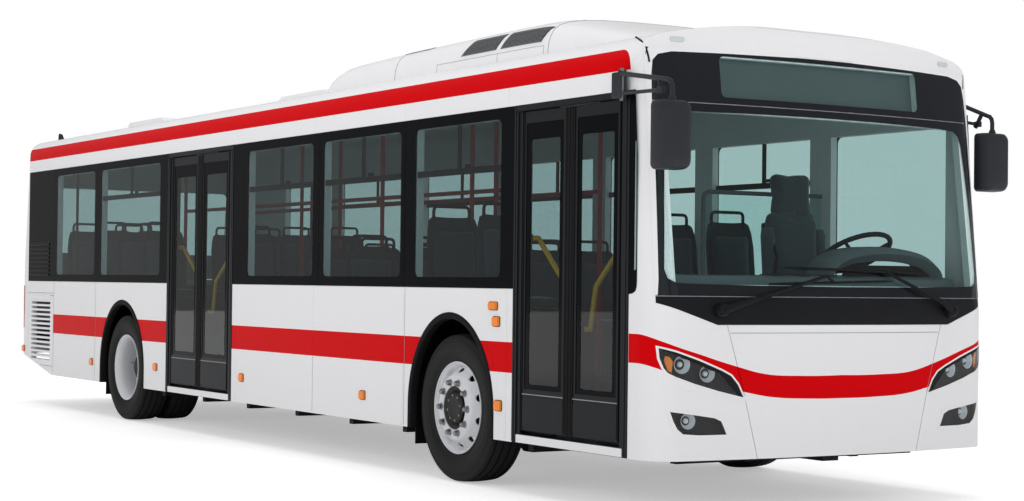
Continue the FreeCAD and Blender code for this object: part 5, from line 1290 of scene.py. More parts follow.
class BUS_OT_wheel_arches(bpy.types.Operator):
    """Builds the rubber bands round the wheel arches and the panels behind them"""

    bl_idname = "bus.wheel_arches"
    bl_label = "Wheel arches"

    def execute(self, context):
        bands, panels = Shape(), Shape()
        for end in ARCHES:
            for way in (-1, 1):
                def at(line, out, way=way):
                    return [(u, way * (SIDE + out), v) for u, v in line]
                ribbon(panels, [at(opening_line(end, 0.008), 0.0002),
                                at(opening_line(end, 0.008), 0.0008),
                                at(arch_line(end, 0.010), 0.0008),
                                at(arch_line(end, 0.010), -0.004)])
                section = ((0.000, 0.0006), (0.0015, 0.0045), (0.006, 0.0065), (0.020, 0.0078),
                           (0.036, 0.0065), (0.042, 0.0040), (BAND_WIDTH, 0.0),
                           (BAND_WIDTH, -0.045), (0.040, -0.045), (0.040, -0.003))
                ribbon(bands, [at(arch_line(end, inset), out) for inset, out in section])
        band = piece("wheel_arch_bands", bands, "epdm_rubber_extruded", 40)
        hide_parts("wheel_arch_trims")
        piece("wheel_arch_panels", panels, "livery", 40)
        return {"FINISHED"}


# ---------------------------------------------------------------- front end

def grown(outline, by):
    """An outline moved outwards (or inwards, below zero) along its edges' normals."""
    area = sum(a[0] * b[1] - b[0] * a[1] for a, b in zip(outline, outline[1:] + outline[:1]))
    turn = 1 if area > 0 else -1
    points = []
    for k, here in enumerate(outline):
        before, after = outline[k - 1], outline[(k + 1) % len(outline)]
        first = Vector((here[0] - before[0], here[1] - before[1])).normalized()
        second = Vector((after[0] - here[0], after[1] - here[1])).normalized()
        normal = Vector((first.y + second.y, -first.x - second.x)) * turn
        normal.normalize()
        lean = max(0.35, abs(normal.dot(Vector((first.y, -first.x)))))
        points.append((here[0] + normal.x * by / lean, here[1] + normal.y * by / lean))
    return points


# Outlines on the right of the front, as (y, z): each lens's own edge, its clear area, and the
# dark band over the headlamp's clear area.
HEADLAMP_EDGE = [(-1.228, 0.950), (-1.228, 0.735), (-1.010, 0.694), (-0.678, 0.633),
                 (-0.857, 0.816)]
HEADLAMP_CLEAR = [(-1.221, 0.938), (-1.216, 0.880), (-1.199, 0.828), (-1.180, 0.802),
                  (-1.138, 0.780), (-1.021, 0.741), (-0.869, 0.699), (-0.702, 0.661),
                  (-0.742, 0.735), (-0.787, 0.783), (-0.848, 0.812), (-0.993, 0.868),
                  (-1.140, 0.916)]
HEADLAMP_MASK = (HEADLAMP_CLEAR[7:] + HEADLAMP_CLEAR[:1]
                 + [(-1.221, 0.928), (-1.140, 0.900), (-0.993, 0.847), (-0.862, 0.798),
                    (-0.712, 0.648)])
FOG_EDGE = [(-1.188, 0.608), (-1.140, 0.434), (-0.790, 0.434), (-0.834, 0.558)]
FOG_CLEAR = [(-1.166, 0.588), (-1.148, 0.535), (-1.125, 0.492), (-1.090, 0.464),
             (-0.988, 0.456), (-0.810, 0.456), (-0.846, 0.530), (-0.890, 0.549),
             (-0.990, 0.564)]
WIPERS = (
    # pivot, elbow and tip of the arm, then the blade's two ends, all as (y, z)
    ((-0.860, 1.146), (-0.700, 1.196), (-0.130, 1.345), (-0.520, 1.298), (0.400, 1.322)),
    ((0.885, 1.148), (0.800, 1.196), (0.330, 1.378), (-0.400, 1.394), (0.640, 1.368)),
)
# Rear and front edge of the panel behind the corner pillar.
QUARTER = (FRONT + 1.9565, FRONT + 2.031)
# The sealed joint at a front corner of the roof cap, from the front axle.
CAP_JOINT = [(1.800, 1.135, 2.694), (1.866, 1.168, 2.677), (1.935, 1.199, 2.657),
             (1.985, 1.215, 2.637), (2.009, 1.2175, 2.612), (2.017, 1.2115, 2.580),
             (2.022, 1.206, 2.552), (2.026, 1.203, 2.527)]


class BUS_OT_front_trim(bpy.types.Operator):
    """Adds the headlamps' and fog lamps' surrounds, the wipers and the quarter panels"""

    bl_idname = "bus.front_trim"
    bl_label = "Front trim"

    def execute(self, context):
        self.surrounds()
        for side, way in SIDES:
            self.quarter(side, way)
        self.cap_edge()
        self.wipers()
        self.seals_and_shade_line()
        return {"FINISHED"}

    def surrounds(self):
        """Painted bezels that shape the lamps' openings, with a white line round the lens."""
        nodes = ("lamp_lenses", "front_corner_panels", "front_panel")
        line = [(max(y, -1.234), z) for y, z in grown(HEADLAMP_CLEAR, 0.010)]
        sheets = (
            # name, outlines, lift, thickness, finish
            ("headlamp_mask", [HEADLAMP_MASK], 0.0003, 0.0004, "abs_moulded_black"),
            ("headlamp_bezel", [HEADLAMP_EDGE, HEADLAMP_CLEAR], 0.0009, 0.0012, "livery"),
            ("headlamp_line", [line, HEADLAMP_CLEAR], 0.0024, 0.0010, "enamel_white_sprayed"),
            ("fog_lamp_bezel", [FOG_EDGE, FOG_CLEAR], 0.0006, 0.0014, "livery"),
        )
        for name, outlines, lift, thickness, finish in sheets:
            mesh = draped(outlines, nodes, "front", lift, thickness, 0.03).mesh(name)
            across = mesh.copy()
            across.transform(Matrix.Scale(-1, 4, (0, 1, 0)))
            across.flip_normals()
            piece(f"{name}_right", mesh, finish, 40)
            piece(f"{name}_left", across, finish, 40)

    def cap_edge(self):
        """The white roof cap's lower edge, which rounds the black glass's top corners."""
        half = [(0.0, 2.6200), (0.145, 2.6140), (0.740, 2.6040), (1.060, 2.5960),
                (1.150, 2.5760), (1.186, 2.5400), (1.198, 2.4600), (1.204, 2.3200),
                (1.206, 1.9000), (1.216, 1.3200), (1.222, 1.2300)]
        line = [(-y, z) for y, z in reversed(half)] + half[1:]
        edge = [(1.2325, 1.2300), (1.2325, 2.6180), (0.0, 2.6230), (-1.2325, 2.6180),
                (-1.2325, 1.2300)]
        sheet = draped([line + edge], ("front_glass", "front_mask"), "front", 0.0018, 0.0012,
                       0.05)
        piece("windscreen_surround", sheet, "enamel_white_sprayed", 40)

    def quarter(self, side, way):
        """The black panel behind the corner pillar, with its slim pane."""
        low, high = QUARTER
        shape = Shape()
        outline = [(low, 1.232), (high - 0.040, 1.236), (high - 0.012, 1.250),
                   (high - 0.002, 1.275), (high, 1.310), (high - 0.006, 2.000),
                   (high - 0.030, 2.372), (low, 2.372)]
        shape.plate(outline, 0.0016, lambda u, v, w: (u, way * (SIDE + 0.0003 + w), v))
        slit = [(high - 0.024, 1.365), (high - 0.008, 1.370), (high - 0.010, 1.720),
                (high - 0.016, 2.080), (high - 0.022, 2.085)]
        shape.plate(slit, 0.0008, lambda u, v, w: (u, way * (SIDE + 0.0020 + w), v), 1)
        piece(f"quarter_panel_{side}", shape, ["ceramic_frit_fired", "glass_edge_ground"],
              30)

    def wipers(self):
        """Two wipers: domed pivots, tapered arms in two parts, springs, blades and rubbers."""
        shape = Shape()

        def on_glass(spot, lift):
            found = landing(("front_glass", "wiper_panel"), (NOSE + 1, *spot), (-1, 0, 0))
            return found[0] + Vector((lift, 0, 0))

        for pivot, elbow, tip, low, high in WIPERS:
            foot = on_glass(pivot, 0.0)
            shape.lathe(((0.0, 0.058), (0.020, 0.058), (0.030, 0.053), (0.037, 0.040),
                         (0.040, 0.020), (0.043, 0.002), (0.043, -0.002), (0.0, -0.002)),
                        foot, (1, 0, 0.12), 28)
            shape.lathe(((0.0, 0.066), (0.010, 0.066), (0.012, 0.062), (0.012, 0.054),
                         (0.0, 0.054)), foot, (1, 0, 0.12), 6)
            start, bend = on_glass(pivot, 0.034), on_glass(elbow, 0.046)
            end = on_glass(tip, 0.036)
            shape.tube([start, start.lerp(bend, 0.5), bend, bend.lerp(end, 0.08)],
                       [0.027, 0.023, 0.019, 0.016], 10)
            shape.tube([bend.lerp(end, 0.02), bend.lerp(end, 0.35), bend.lerp(end, 0.98), end],
                       [0.015, 0.0125, 0.0095, 0.008], 8)
            # The spring and the washer hose run along the arm.
            shape.tube([bend.lerp(end, t / 40) + Vector((0.010, 0, -0.012 + 0.003 * (t % 2)))
                        for t in range(13)], 0.0035, 6)
            first, last = on_glass(low, 0.016), on_glass(high, 0.016)
            count = 14
            line, rubber = ([on_glass((low[0] + (high[0] - low[0]) * k / count,
                                       low[1] + (high[1] - low[1]) * k / count), lift)
                             for k in range(count + 1)] for lift in (0.018, 0.006))
            shape.tube(line, [0.004] + [0.0075] * (count - 1) + [0.004], 8)
            shape.tube(rubber, 0.0045, 6)
            for share in (0.18, 0.5, 0.82):
                middle = line[int(share * count)]
                shape.tube([middle + Vector((0, -0.05, 0)), middle + Vector((0.010, 0, 0)),
                            middle + Vector((0, 0.05, 0))], 0.0055, 6)
            shape.tube([end, (first + last) / 2 + Vector((0.014, 0, 0))], 0.009, 8)
        made = piece("wiper_arms", shape, ["abs_moulded_black", "zinc_plated_steel"],
                     40)
        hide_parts("wipers")

    def seals_and_shade_line(self):
        """Painted shade on the cowl's step, and sealed joints at the roof cap's front corners."""
        nodes = ("front_panel", "front_corner_panels", "front_mask")
        # A thin grey strip stands for the shade of the cowl's step: painted shade, not a joint.
        strip = draped([[(-0.79, 1.019), (0.79, 1.019), (0.79, 1.022), (-0.79, 1.022)]],
                       nodes, "front", 0.0004, 0.0006, 0.06)
        piece("front_cowl_line", strip, "grey_joint_sealant", 40)
        joints = Shape()
        for way in (-1, 1):
            joints.tube([(FRONT + x, way * y, z) for x, y, z in CAP_JOINT], 0.006, 8)
        piece("cap_joints", joints, "epdm_rubber_extruded", 40)


# ---------------------------------------------------------------- mirrors

class BUS_OT_mirrors(bpy.types.Operator):
    """Builds the outside mirrors: hinge blocks, bent tubes, rounded heads and glasses"""

    bl_idname = "bus.mirrors"
    bl_label = "Mirrors"

    def execute(self, context):
        made = self.mirror("right", -1, (1.885, 2.400), (2.550, 1.430))
        self.mirror("left", 1, (1.800, 2.400), (2.060, 1.430))
        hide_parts("mirrors")
        return {"FINISHED"}

    def mirror(self, side, way, mount, head):
        """One mirror; mount is its (x, z) and head its (x, y), from the front axle."""
        shape = Shape()
        x, z = FRONT + mount[0], mount[1]
        hx, hy = FRONT + head[0], way * head[1]
        hinge = Vector((x + 0.052, way * (SIDE + 0.050), z))
        low_y, high_y = off_side(way, 0.0005, 0.055)
        shape.block((x - 0.050, low_y, z - 0.075), (x + 0.030, high_y, z + 0.075), 0.014, 0, 4)
        low_y, high_y = off_side(way, 0.020, 0.062)
        shape.block((x + 0.022, low_y, z - 0.085), (x + 0.062, high_y, z + 0.085), 0.012, 0, 3)
        shape.tube([hinge - Vector((0, 0, 0.092)), hinge + Vector((0, 0, 0.092))], 0.011, 14,
                   index=1)
        start = hinge + Vector((0, 0, 0.062))
        knee = Vector((hx - 0.045, hy, z - 0.025))
        low = hinge - Vector((0, 0, 0.050))
        join = Vector((hx - 0.120, hy + way * -0.010, z - 0.075))
        path = [start, start.lerp(knee, 0.5), start.lerp(knee, 0.88), knee,
                knee + Vector((0.024, 0, -0.008)), knee + Vector((0.040, 0, -0.026)),
                Vector((hx, hy, z - 0.075)), Vector((hx, hy, 2.250))]
        shape.tube(path, 0.0135, 14)
        shape.tube([low, low.lerp(join, 0.5), join], 0.0105, 12)
        shape.tube([join + Vector((-0.014, 0, -0.020)), join, start.lerp(knee, 0.84)], 0.013,
                   12)
        shape.block(join - Vector((0.022, 0.014, 0.018)), join + Vector((0.030, 0.014, 0.018)),
                    0.007, 0, 3)
        shape.lathe(((0.0, -0.020), (0.021, -0.020), (0.022, 0.0), (0.019, 0.006),
                     (0.016, 0.016), (0.0, 0.016)), (hx, hy, 2.268), (0, 0, 1), 20)
        self.head(shape, hx, hy)
        made = piece(f"mirror_{side}", shape, ["abs_moulded_slate", "zinc_plated_steel"],
                     35)
        glass = Shape()
        for foot, top in ((2.020, 2.232), (1.922, 2.008)):
            glass.plate(rounded((hy - 0.082, foot), (hy + 0.082, top), 0.016, 4), 0.003,
                        lambda u, v, w: (hx - 0.0615 - w, u, v))
        piece(f"mirror_glass_{side}", glass, "mirror_silvered", 30)
        return made

    def head(self, shape, hx, hy):
        """A rounded housing, drawn in towards the front, with a rim round the glasses."""
        sections = ((-0.062, 0.000, 0.094, 0.030), (-0.054, 0.000, 0.100, 0.034),
                    (-0.020, 0.000, 0.103, 0.038), (0.015, 0.001, 0.101, 0.040),
                    (0.040, 0.005, 0.095, 0.042), (0.056, 0.014, 0.084, 0.040),
                    (0.064, 0.030, 0.066, 0.034))
        rows = [shape.points((hx + along, y, z) for y, z in
                             rounded((hy - half, 1.895 + draw), (hy + half, 2.262 - draw),
                                     radius, 6))
                for along, draw, half, radius in sections]
        shape.skin(rows, True)
        shape.face(rows[0])
        shape.face(rows[-1][::-1])


# ---------------------------------------------------------------- roof unit

# Stations along the roof unit: x from the front axle, top height and width share.
UNIT_STATIONS = (
    (-2.580, 2.765, 0.955), (-2.572, 2.812, 0.970), (-2.550, 2.850, 0.982),
    (-2.500, 2.892, 0.992), (-2.420, 2.926, 0.997), (-2.320, 2.950, 1.0),
    (-2.150, 2.966, 1.0), (-1.800, 2.976, 1.0), (-1.434, 2.984, 1.0), (-1.426, 2.984, 1.0),
    (-1.000, 2.990, 1.0), (-0.500, 2.996, 1.0), (0.000, 3.000, 1.0), (0.300, 3.000, 1.0),
    (0.480, 2.996, 1.0), (0.570, 2.986, 0.998), (0.640, 2.972, 0.990), (0.760, 2.946, 0.972),
    (0.900, 2.914, 0.950), (1.050, 2.878, 0.925), (1.180, 2.842, 0.898),
    (1.270, 2.808, 0.870), (1.320, 2.778, 0.845), (1.337, 2.752, 0.825),
)
# Half the unit's cross-section: y, and height as a share of the way from the roof to the top.
UNIT_SECTION = ((0.955, 0.0), (0.953, 0.20), (0.947, 0.36), (0.932, 0.52), (0.905, 0.67),
                (0.862, 0.78), (0.790, 0.866), (0.680, 0.930), (0.520, 0.970), (0.280, 0.992),
                (0.0, 1.0))
# The same as tables to read off, and the height of the unit's foot.
UNIT_TOPS, UNIT_WIDTHS = ([(station[0], station[axis]) for station in UNIT_STATIONS]
                          for axis in (1, 2))
UNIT_OUT, UNIT_RISE = ([(k, point[axis]) for k, point in enumerate(UNIT_SECTION)]
                       for axis in (0, 1))
UNIT_FOOT = 2.700
GRILLES = (
    # low rear, low front, high front and high rear x of a side grille
    (-0.500, -0.045, 0.025, -0.385),
    (0.010, 0.505, 0.575, 0.080),
)


def unit_point(x, share, way=1):
    """A point of the roof unit's skin: share runs along the half section from its foot."""
    top, width = read_off(x, UNIT_TOPS), read_off(x, UNIT_WIDTHS)
    place = share * (len(UNIT_SECTION) - 1)
    y, h = read_off(place, UNIT_OUT), read_off(place, UNIT_RISE)
    return Vector((FRONT + x, way * y * width, UNIT_FOOT + h * (top - UNIT_FOOT)))


def partway(first, second, part):
    """The value or point that lies a part of the way from the first to the second."""
    return first + part * (second - first)


def unit_line(x, count):
    """A line over the roof unit's skin, from its right foot to its left."""
    return ([unit_point(x, k / count, -1) for k in range(count + 1)]
            + [unit_point(x, 1 - k / count, 1) for k in range(1, count + 1)])


def unit_normal(x, share, way):
    """The way out of the roof unit's skin at a point."""
    along = unit_point(x + 0.01, share, way) - unit_point(x - 0.01, share, way)
    over = unit_point(x, share + 0.02, way) - unit_point(x, share - 0.02, way)
    normal = along.cross(over).normalized()
    return normal if normal.y * way > 0 else -normal


class BUS_OT_roof_unit(bpy.types.Operator):
    """Builds the air conditioner's shell, grilles and joints, and the roof's small fin"""

    bl_idname = "bus.roof_unit"
    bl_label = "Roof unit"

    def execute(self, context):
        shell = Shape()
        rows = [shell.points(unit_line(station[0], 28)) for station in UNIT_STATIONS]
        shell.skin(rows, True)
        shell.face(rows[0][::-1])
        shell.face(rows[-1])
        made = piece("air_conditioner_shell", shell, "enamel_white_sprayed", 38)
        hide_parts("air_conditioner")
        self.joints()
        self.grilles()
        self.top_fans()
        return {"FINISHED"}

    def joints(self):
        """Narrow joints between the shell's modules, and the slit over the rear one."""
        shape = Shape()
        for x in (-1.430, 0.590):
            shape.tube(unit_line(x, 30), 0.0022, 6)
        rear, front, share = -0.820, 0.540, 0.16
        for way in (-1, 1):
            shape.tube([unit_point(partway(rear, front, k / 12), share, way)
                        for k in range(13)], 0.0016, 6)
            for x in (rear, -0.020, front):
                shape.tube([unit_point(x, k / 10 * share, way) for k in range(1, 11)], 0.0016,
                           6)
            self.patch(shape, way, (-1.440, -1.085, -1.065, -1.420), (0.50, 0.56), 0.001, 0.004)
        piece("air_conditioner_joints", shape, "grey_joint_sealant", 40)

    def patch(self, shape, way, corners, shares, low, high, index=0):
        """A thin plate on the skin between two shares of the section."""
        rear_low, front_low, front_high, rear_high = corners
        across, up = 6, 4
        for lift in (low, high):
            rows = []
            for j in range(up + 1):
                share = partway(*shares, j / up)
                first = partway(rear_low, rear_high, j / up)
                last = partway(front_low, front_high, j / up)
                xs = [partway(first, last, i / across) for i in range(across + 1)]
                rows.append(shape.points(unit_point(x, share, way)
                                         + unit_normal(x, share, way) * lift for x in xs))
            shape.skin(rows, index=index)
            rims = [rows[0], [r[-1] for r in rows], rows[-1][::-1], [r[0] for r in rows][::-1]]
            if lift == low:
                below = rims
        for under, over in zip(below, rims):
            shape.skin([under, over], index=index)

    def grilles(self):
        """Two louvred grilles on each flank."""
        shape = Shape()
        shares = (0.215, 0.445)
        for way in (-1, 1):
            for corners in GRILLES:
                grow = (corners[0] - 0.014, corners[1] + 0.010, corners[2] + 0.014,
                        corners[3] - 0.010)
                self.patch(shape, way, grow, (shares[0] - 0.010, shares[1] + 0.010), 0.0005,
                           0.0022, 0)
                self.patch(shape, way, corners, shares, 0.0010, 0.0032, 1)
                slats = 13
                for number in range(slats):
                    part = (number + 0.5) / slats
                    share = partway(*shares, part)
                    first = partway(corners[0], corners[3], part) + 0.006
                    last = partway(corners[1], corners[2], part) - 0.006
                    xs = [partway(first, last, k / 7) for k in range(8)]
                    shape.tube([unit_point(x, share, way) + unit_normal(x, share, way) * 0.0050
                                for x in xs], 0.0024, 5, index=2)
        piece("air_conditioner_grilles", shape,
              ["enamel_white_sprayed", "abs_moulded_black", "aluminium_louvre_extruded"],
              40)

    def top_fans(self):
        """Six guarded fans on the top, and the fin further back on the roof."""
        shape = Shape()
        for x in (-1.900, -0.750, 0.000):
            for y in (-0.36, 0.36):
                top = unit_point(x, 1.0).z - 0.012
                centre = (FRONT + x, y, top)
                shape.lathe(((0.205, 0.000), (0.205, 0.020), (0.195, 0.027), (0.178, 0.027),
                             (0.172, 0.018), (0.0, 0.0150), (0.0, 0.0)), centre, (0, 0, 1), 40,
                            1)
                for radius in (0.045, 0.080, 0.115, 0.150):
                    shape.tube([(centre[0] + u, centre[1] + v, top + 0.026)
                                for u, v in circle(radius, 32)], 0.0030, 6, True, 1)
                for u, v in circle(1, 6):
                    shape.tube([(centre[0] + 0.02 * u, centre[1] + 0.02 * v, top + 0.028),
                                (centre[0] + 0.19 * u, centre[1] + 0.19 * v, top + 0.024)],
                               0.0035, 6, index=1)
                shape.lathe(((0.0, 0.034), (0.030, 0.032), (0.036, 0.026), (0.036, 0.016),
                             (0.0, 0.016)), centre, (0, 0, 1), 24, 1)
        fin = Shape()
        x, y = FRONT - 8.600, -1.010
        found = landing(("roof_panel",), (x, y, 4), (0, 0, -1))
        z = found[0].z if found else 2.75
        fin.plate([(x - 0.070, z - 0.004), (x + 0.080, z - 0.004), (x + 0.020, z + 0.052),
                   (x - 0.045, z + 0.066), (x - 0.062, z + 0.050)], 0.016,
                  lambda u, v, w: (u, y - 0.008 + w, v))
        piece("air_conditioner_fans", shape, ["enamel_white_sprayed", "abs_moulded_black"],
              40)
        piece("roof_fin", fin, "abs_moulded_black", 40)


# ---------------------------------------------------------------- seats and driver's place

# x of each seat's origin, floor under it and the sides of the aisle that it is on.
PODIUM, REAR_FLOOR, ON_HOUSING = 0.570, 0.780, 0.755
SEAT_ROWS = (
    (FRONT - 1.700, PODIUM, (-1, 1)), (FRONT - 2.400, PODIUM, (-1, 1)),
    (FRONT - 3.080, PODIUM, (1,)), (FRONT - 3.760, PODIUM, (1,)),
    (FRONT - 4.440, PODIUM, (1,)), (REAR - 1.100, REAR_FLOOR, (-1, 1)),
    (REAR - 1.800, REAR_FLOOR, (-1, 1)),
)
HOUSING_SEATS = (FRONT - 0.600, FRONT + 0.060, REAR - 0.560, REAR + 0.100)
SEAT_PROFILE = ((0.428, 0.392), (0.418, 0.414), (0.385, 0.424), (0.300, 0.420),
                (0.180, 0.412), (0.080, 0.416), (0.040, 0.436), (0.024, 0.475),
                (0.012, 0.560), (0.000, 0.680), (-0.012, 0.800), (-0.024, 0.900),
                (-0.034, 0.955), (-0.040, 0.972))


def seat_places():
    """Where each passenger seat stands, and whether it has a leg."""
    places = []
    for x, level, sides in SEAT_ROWS:
        places += [(Vector((x, way * y, level)), True) for way in sides for y in (0.985, 0.545)]
    for x in HOUSING_SEATS:
        places += [(Vector((x, way * 0.930, ON_HOUSING)), False) for way in (-1, 1)]
    return places


def pillow(size, cap, voxel, pinch=0.12):
    """A padded form of a size (x, y, z) about the origin: a block with rounded corners and
    drawn-in sides that air pressure swells, at most by the cap."""
    grid = bmesh.new()
    bmesh.ops.create_cube(grid, size=2)
    bmesh.ops.subdivide_edges(grid, edges=grid.edges[:], cuts=9, use_grid_fill=True)
    sx, sy, sz = (s / 2 for s in size)
    for vert in grid.verts:
        a, b, c = vert.co
        # The corners are rounded, and each side pulls in between them.
        waist = 1 - pinch * 0.35 * (1 - a * a) * abs(b) - pinch * 0.10 * abs(a) * (1 - b * b)
        edge = max(abs(a), abs(b)) ** 6
        corner = 1 - 0.085 * (a * b) ** 8
        vert.co = Vector((a * sx * corner * (1 - pinch * 0.3 * (1 - b * b) * abs(a)),
                          b * sy * corner * waist,
                          c * sz * (1 - 0.42 * edge)))
    mesh = bpy.data.meshes.new("pillow")
    grid.to_mesh(mesh)
    grid.free()
    scene = bpy.context.scene
    thing = bpy.data.objects.new("pillow_form", mesh)
    scene.collection.objects.link(thing)
    remesh = thing.modifiers.new("Remesh", "REMESH")
    remesh.mode = "VOXEL"
    remesh.voxel_size = voxel
    bpy.context.view_layer.update()
    graph = bpy.context.evaluated_depsgraph_get()
    fine = bpy.data.meshes.new_from_object(thing.evaluated_get(graph))
    thing.modifiers.clear()
    thing.data = fine
    start = [vert.co.copy() for vert in fine.vertices]
    cloth = thing.modifiers.new("Cloth", "CLOTH")
    cloth.settings.use_pressure = True
    cloth.settings.uniform_pressure_force = 4
    cloth.settings.tension_stiffness = 25
    cloth.settings.compression_stiffness = 25
    cloth.settings.effector_weights.gravity = 0
    for frame_number in range(1, 21):
        scene.frame_set(frame_number)
    graph = bpy.context.evaluated_depsgraph_get()
    swollen = bpy.data.meshes.new_from_object(thing.evaluated_get(graph))
    scene.frame_set(1)
    bpy.data.objects.remove(thing)
    for vert, before in zip(swollen.vertices, start):
        moved = vert.co - before
        if moved.length > cap:
            vert.co = before + moved.normalized() * cap
    swollen.shade_smooth()
    return swollen


def cushion(name, form, turn, finish):
    """One padded piece: a copy of a swollen form, turned into place."""
    mesh = form.copy()
    mesh.transform(turn)
    made = piece(name, mesh, finish)


def leaning(place, lean):
    """Turns a flat pad (its face up) to stand up as a back, leaning back by an angle."""
    return (Matrix.Translation(place) @ Matrix.Rotation(math.radians(90 - lean), 4, "Y"))


class BUS_OT_passenger_seats(bpy.types.Operator):
    """Builds the moulded seats, their pads, legs and grab loops"""

    bl_idname = "bus.passenger_seats"
    bl_label = "Passenger seats"

    def execute(self, context):
        shells, loops = Shape(), Shape()
        base = pillow((0.350, 0.350, 0.024), 0.007, 0.013)
        back = pillow((0.400, 0.350, 0.024), 0.007, 0.013)
        for number, (place, legged) in enumerate(seat_places()):
            self.shell(shells, place)
            self.loop(loops, place)
            if legged:
                self.leg(loops, place)
            cushion(f"seat_pad_{number:02d}", base,
                    Matrix.Translation(place + Vector((0.225, 0, 0.4270))), "moquette_woven")
            cushion(f"back_pad_{number:02d}", back,
                    leaning(place + Vector((0.0150, 0, 0.695)), 6.0), "moquette_woven")
        made = piece("passenger_seat_shells", shells, "polypropylene_moulded", 50)
        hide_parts("passenger_seats")
        piece("passenger_seat_loops", loops, ["abs_moulded_black", "frame_paint_grey"],
              40)
        return {"FINISHED"}

    def shell(self, shape, place):
        """A dished shell with turned edges, 9 mm thick."""
        count = 14
        front, rear = [], []
        top = len(SEAT_PROFILE) - 1
        for k, (x, z) in enumerate(SEAT_PROFILE):
            before = SEAT_PROFILE[max(0, k - 1)]
            after = SEAT_PROFILE[min(top, k + 1)]
            way = Vector((after[0] - before[0], 0, after[1] - before[1])).normalized()
            normal = Vector((way.z, 0, -way.x))
            narrow = 0.0
            if k >= top - 2:
                narrow = (0.012, 0.030, 0.062)[k - top + 2]
            if k <= 1:
                narrow = (0.030, 0.012)[k]
            half = 0.208 - narrow
            dishes = []
            for i in range(count + 1):
                v = -1 + 2 * i / count
                dish = 0.020 * abs(v) ** 3 if k > 0 else 0.004
                dishes.append(place + Vector((x, v * half, z)) + normal * dish)
            front.append(dishes)
            rear.append([point - normal * 0.009 for point in dishes])
        rows, backs = ([shape.points(line) for line in side] for side in (front, rear))
        shape.skin(rows)
        shape.skin(backs)
        rim = [(0, k) for k in range(count + 1)]
        rim += [(r, count) for r in range(1, top + 1)]
        rim += [(top, k) for k in range(count - 1, -1, -1)]
        rim += [(r, 0) for r in range(top - 1, 0, -1)]
        for k, (r, c) in enumerate(rim):
            nr, nc = rim[(k + 1) % len(rim)]
            shape.face((rows[r][c], rows[nr][nc], backs[nr][nc], backs[r][c]))

    def loop(self, shape, place):
        """The grab loop on top of the back."""
        half = ((0.140, 0.930), (0.140, 1.015), (0.136, 1.031), (0.126, 1.042), (0.110, 1.046))
        path = ([(-0.030, -y, z) for y, z in half]
                + [(-0.030, y, z) for y, z in reversed(half)])
        shape.tube([place + Vector(p) for p in path], 0.0115, 12)

    def leg(self, shape, place):
        """A square leg with a foot plate and a bearer under the seat."""
        shape.block(place + Vector((0.150, -0.035, 0.006)),
                    place + Vector((0.220, 0.035, 0.385)), 0.008, 1)
        shape.block(place + Vector((0.110, -0.070, 0.0)), place + Vector((0.260, 0.070, 0.008)),
                    0.003, 1)
        shape.block(place + Vector((0.060, -0.150, 0.378)),
                    place + Vector((0.330, 0.150, 0.396)), 0.006, 1)


# The driver's floor, the seat's and the steering wheel's place from the front axle, and the
# way that the steering wheel's axis points.
CAB_FLOOR = 0.620
DRIVER = (1.000, 0.720)
WHEEL_CENTRE = (1.590, 0.720, 1.500)
WHEEL_AXIS = Vector((-0.5, 0.0, 0.866))


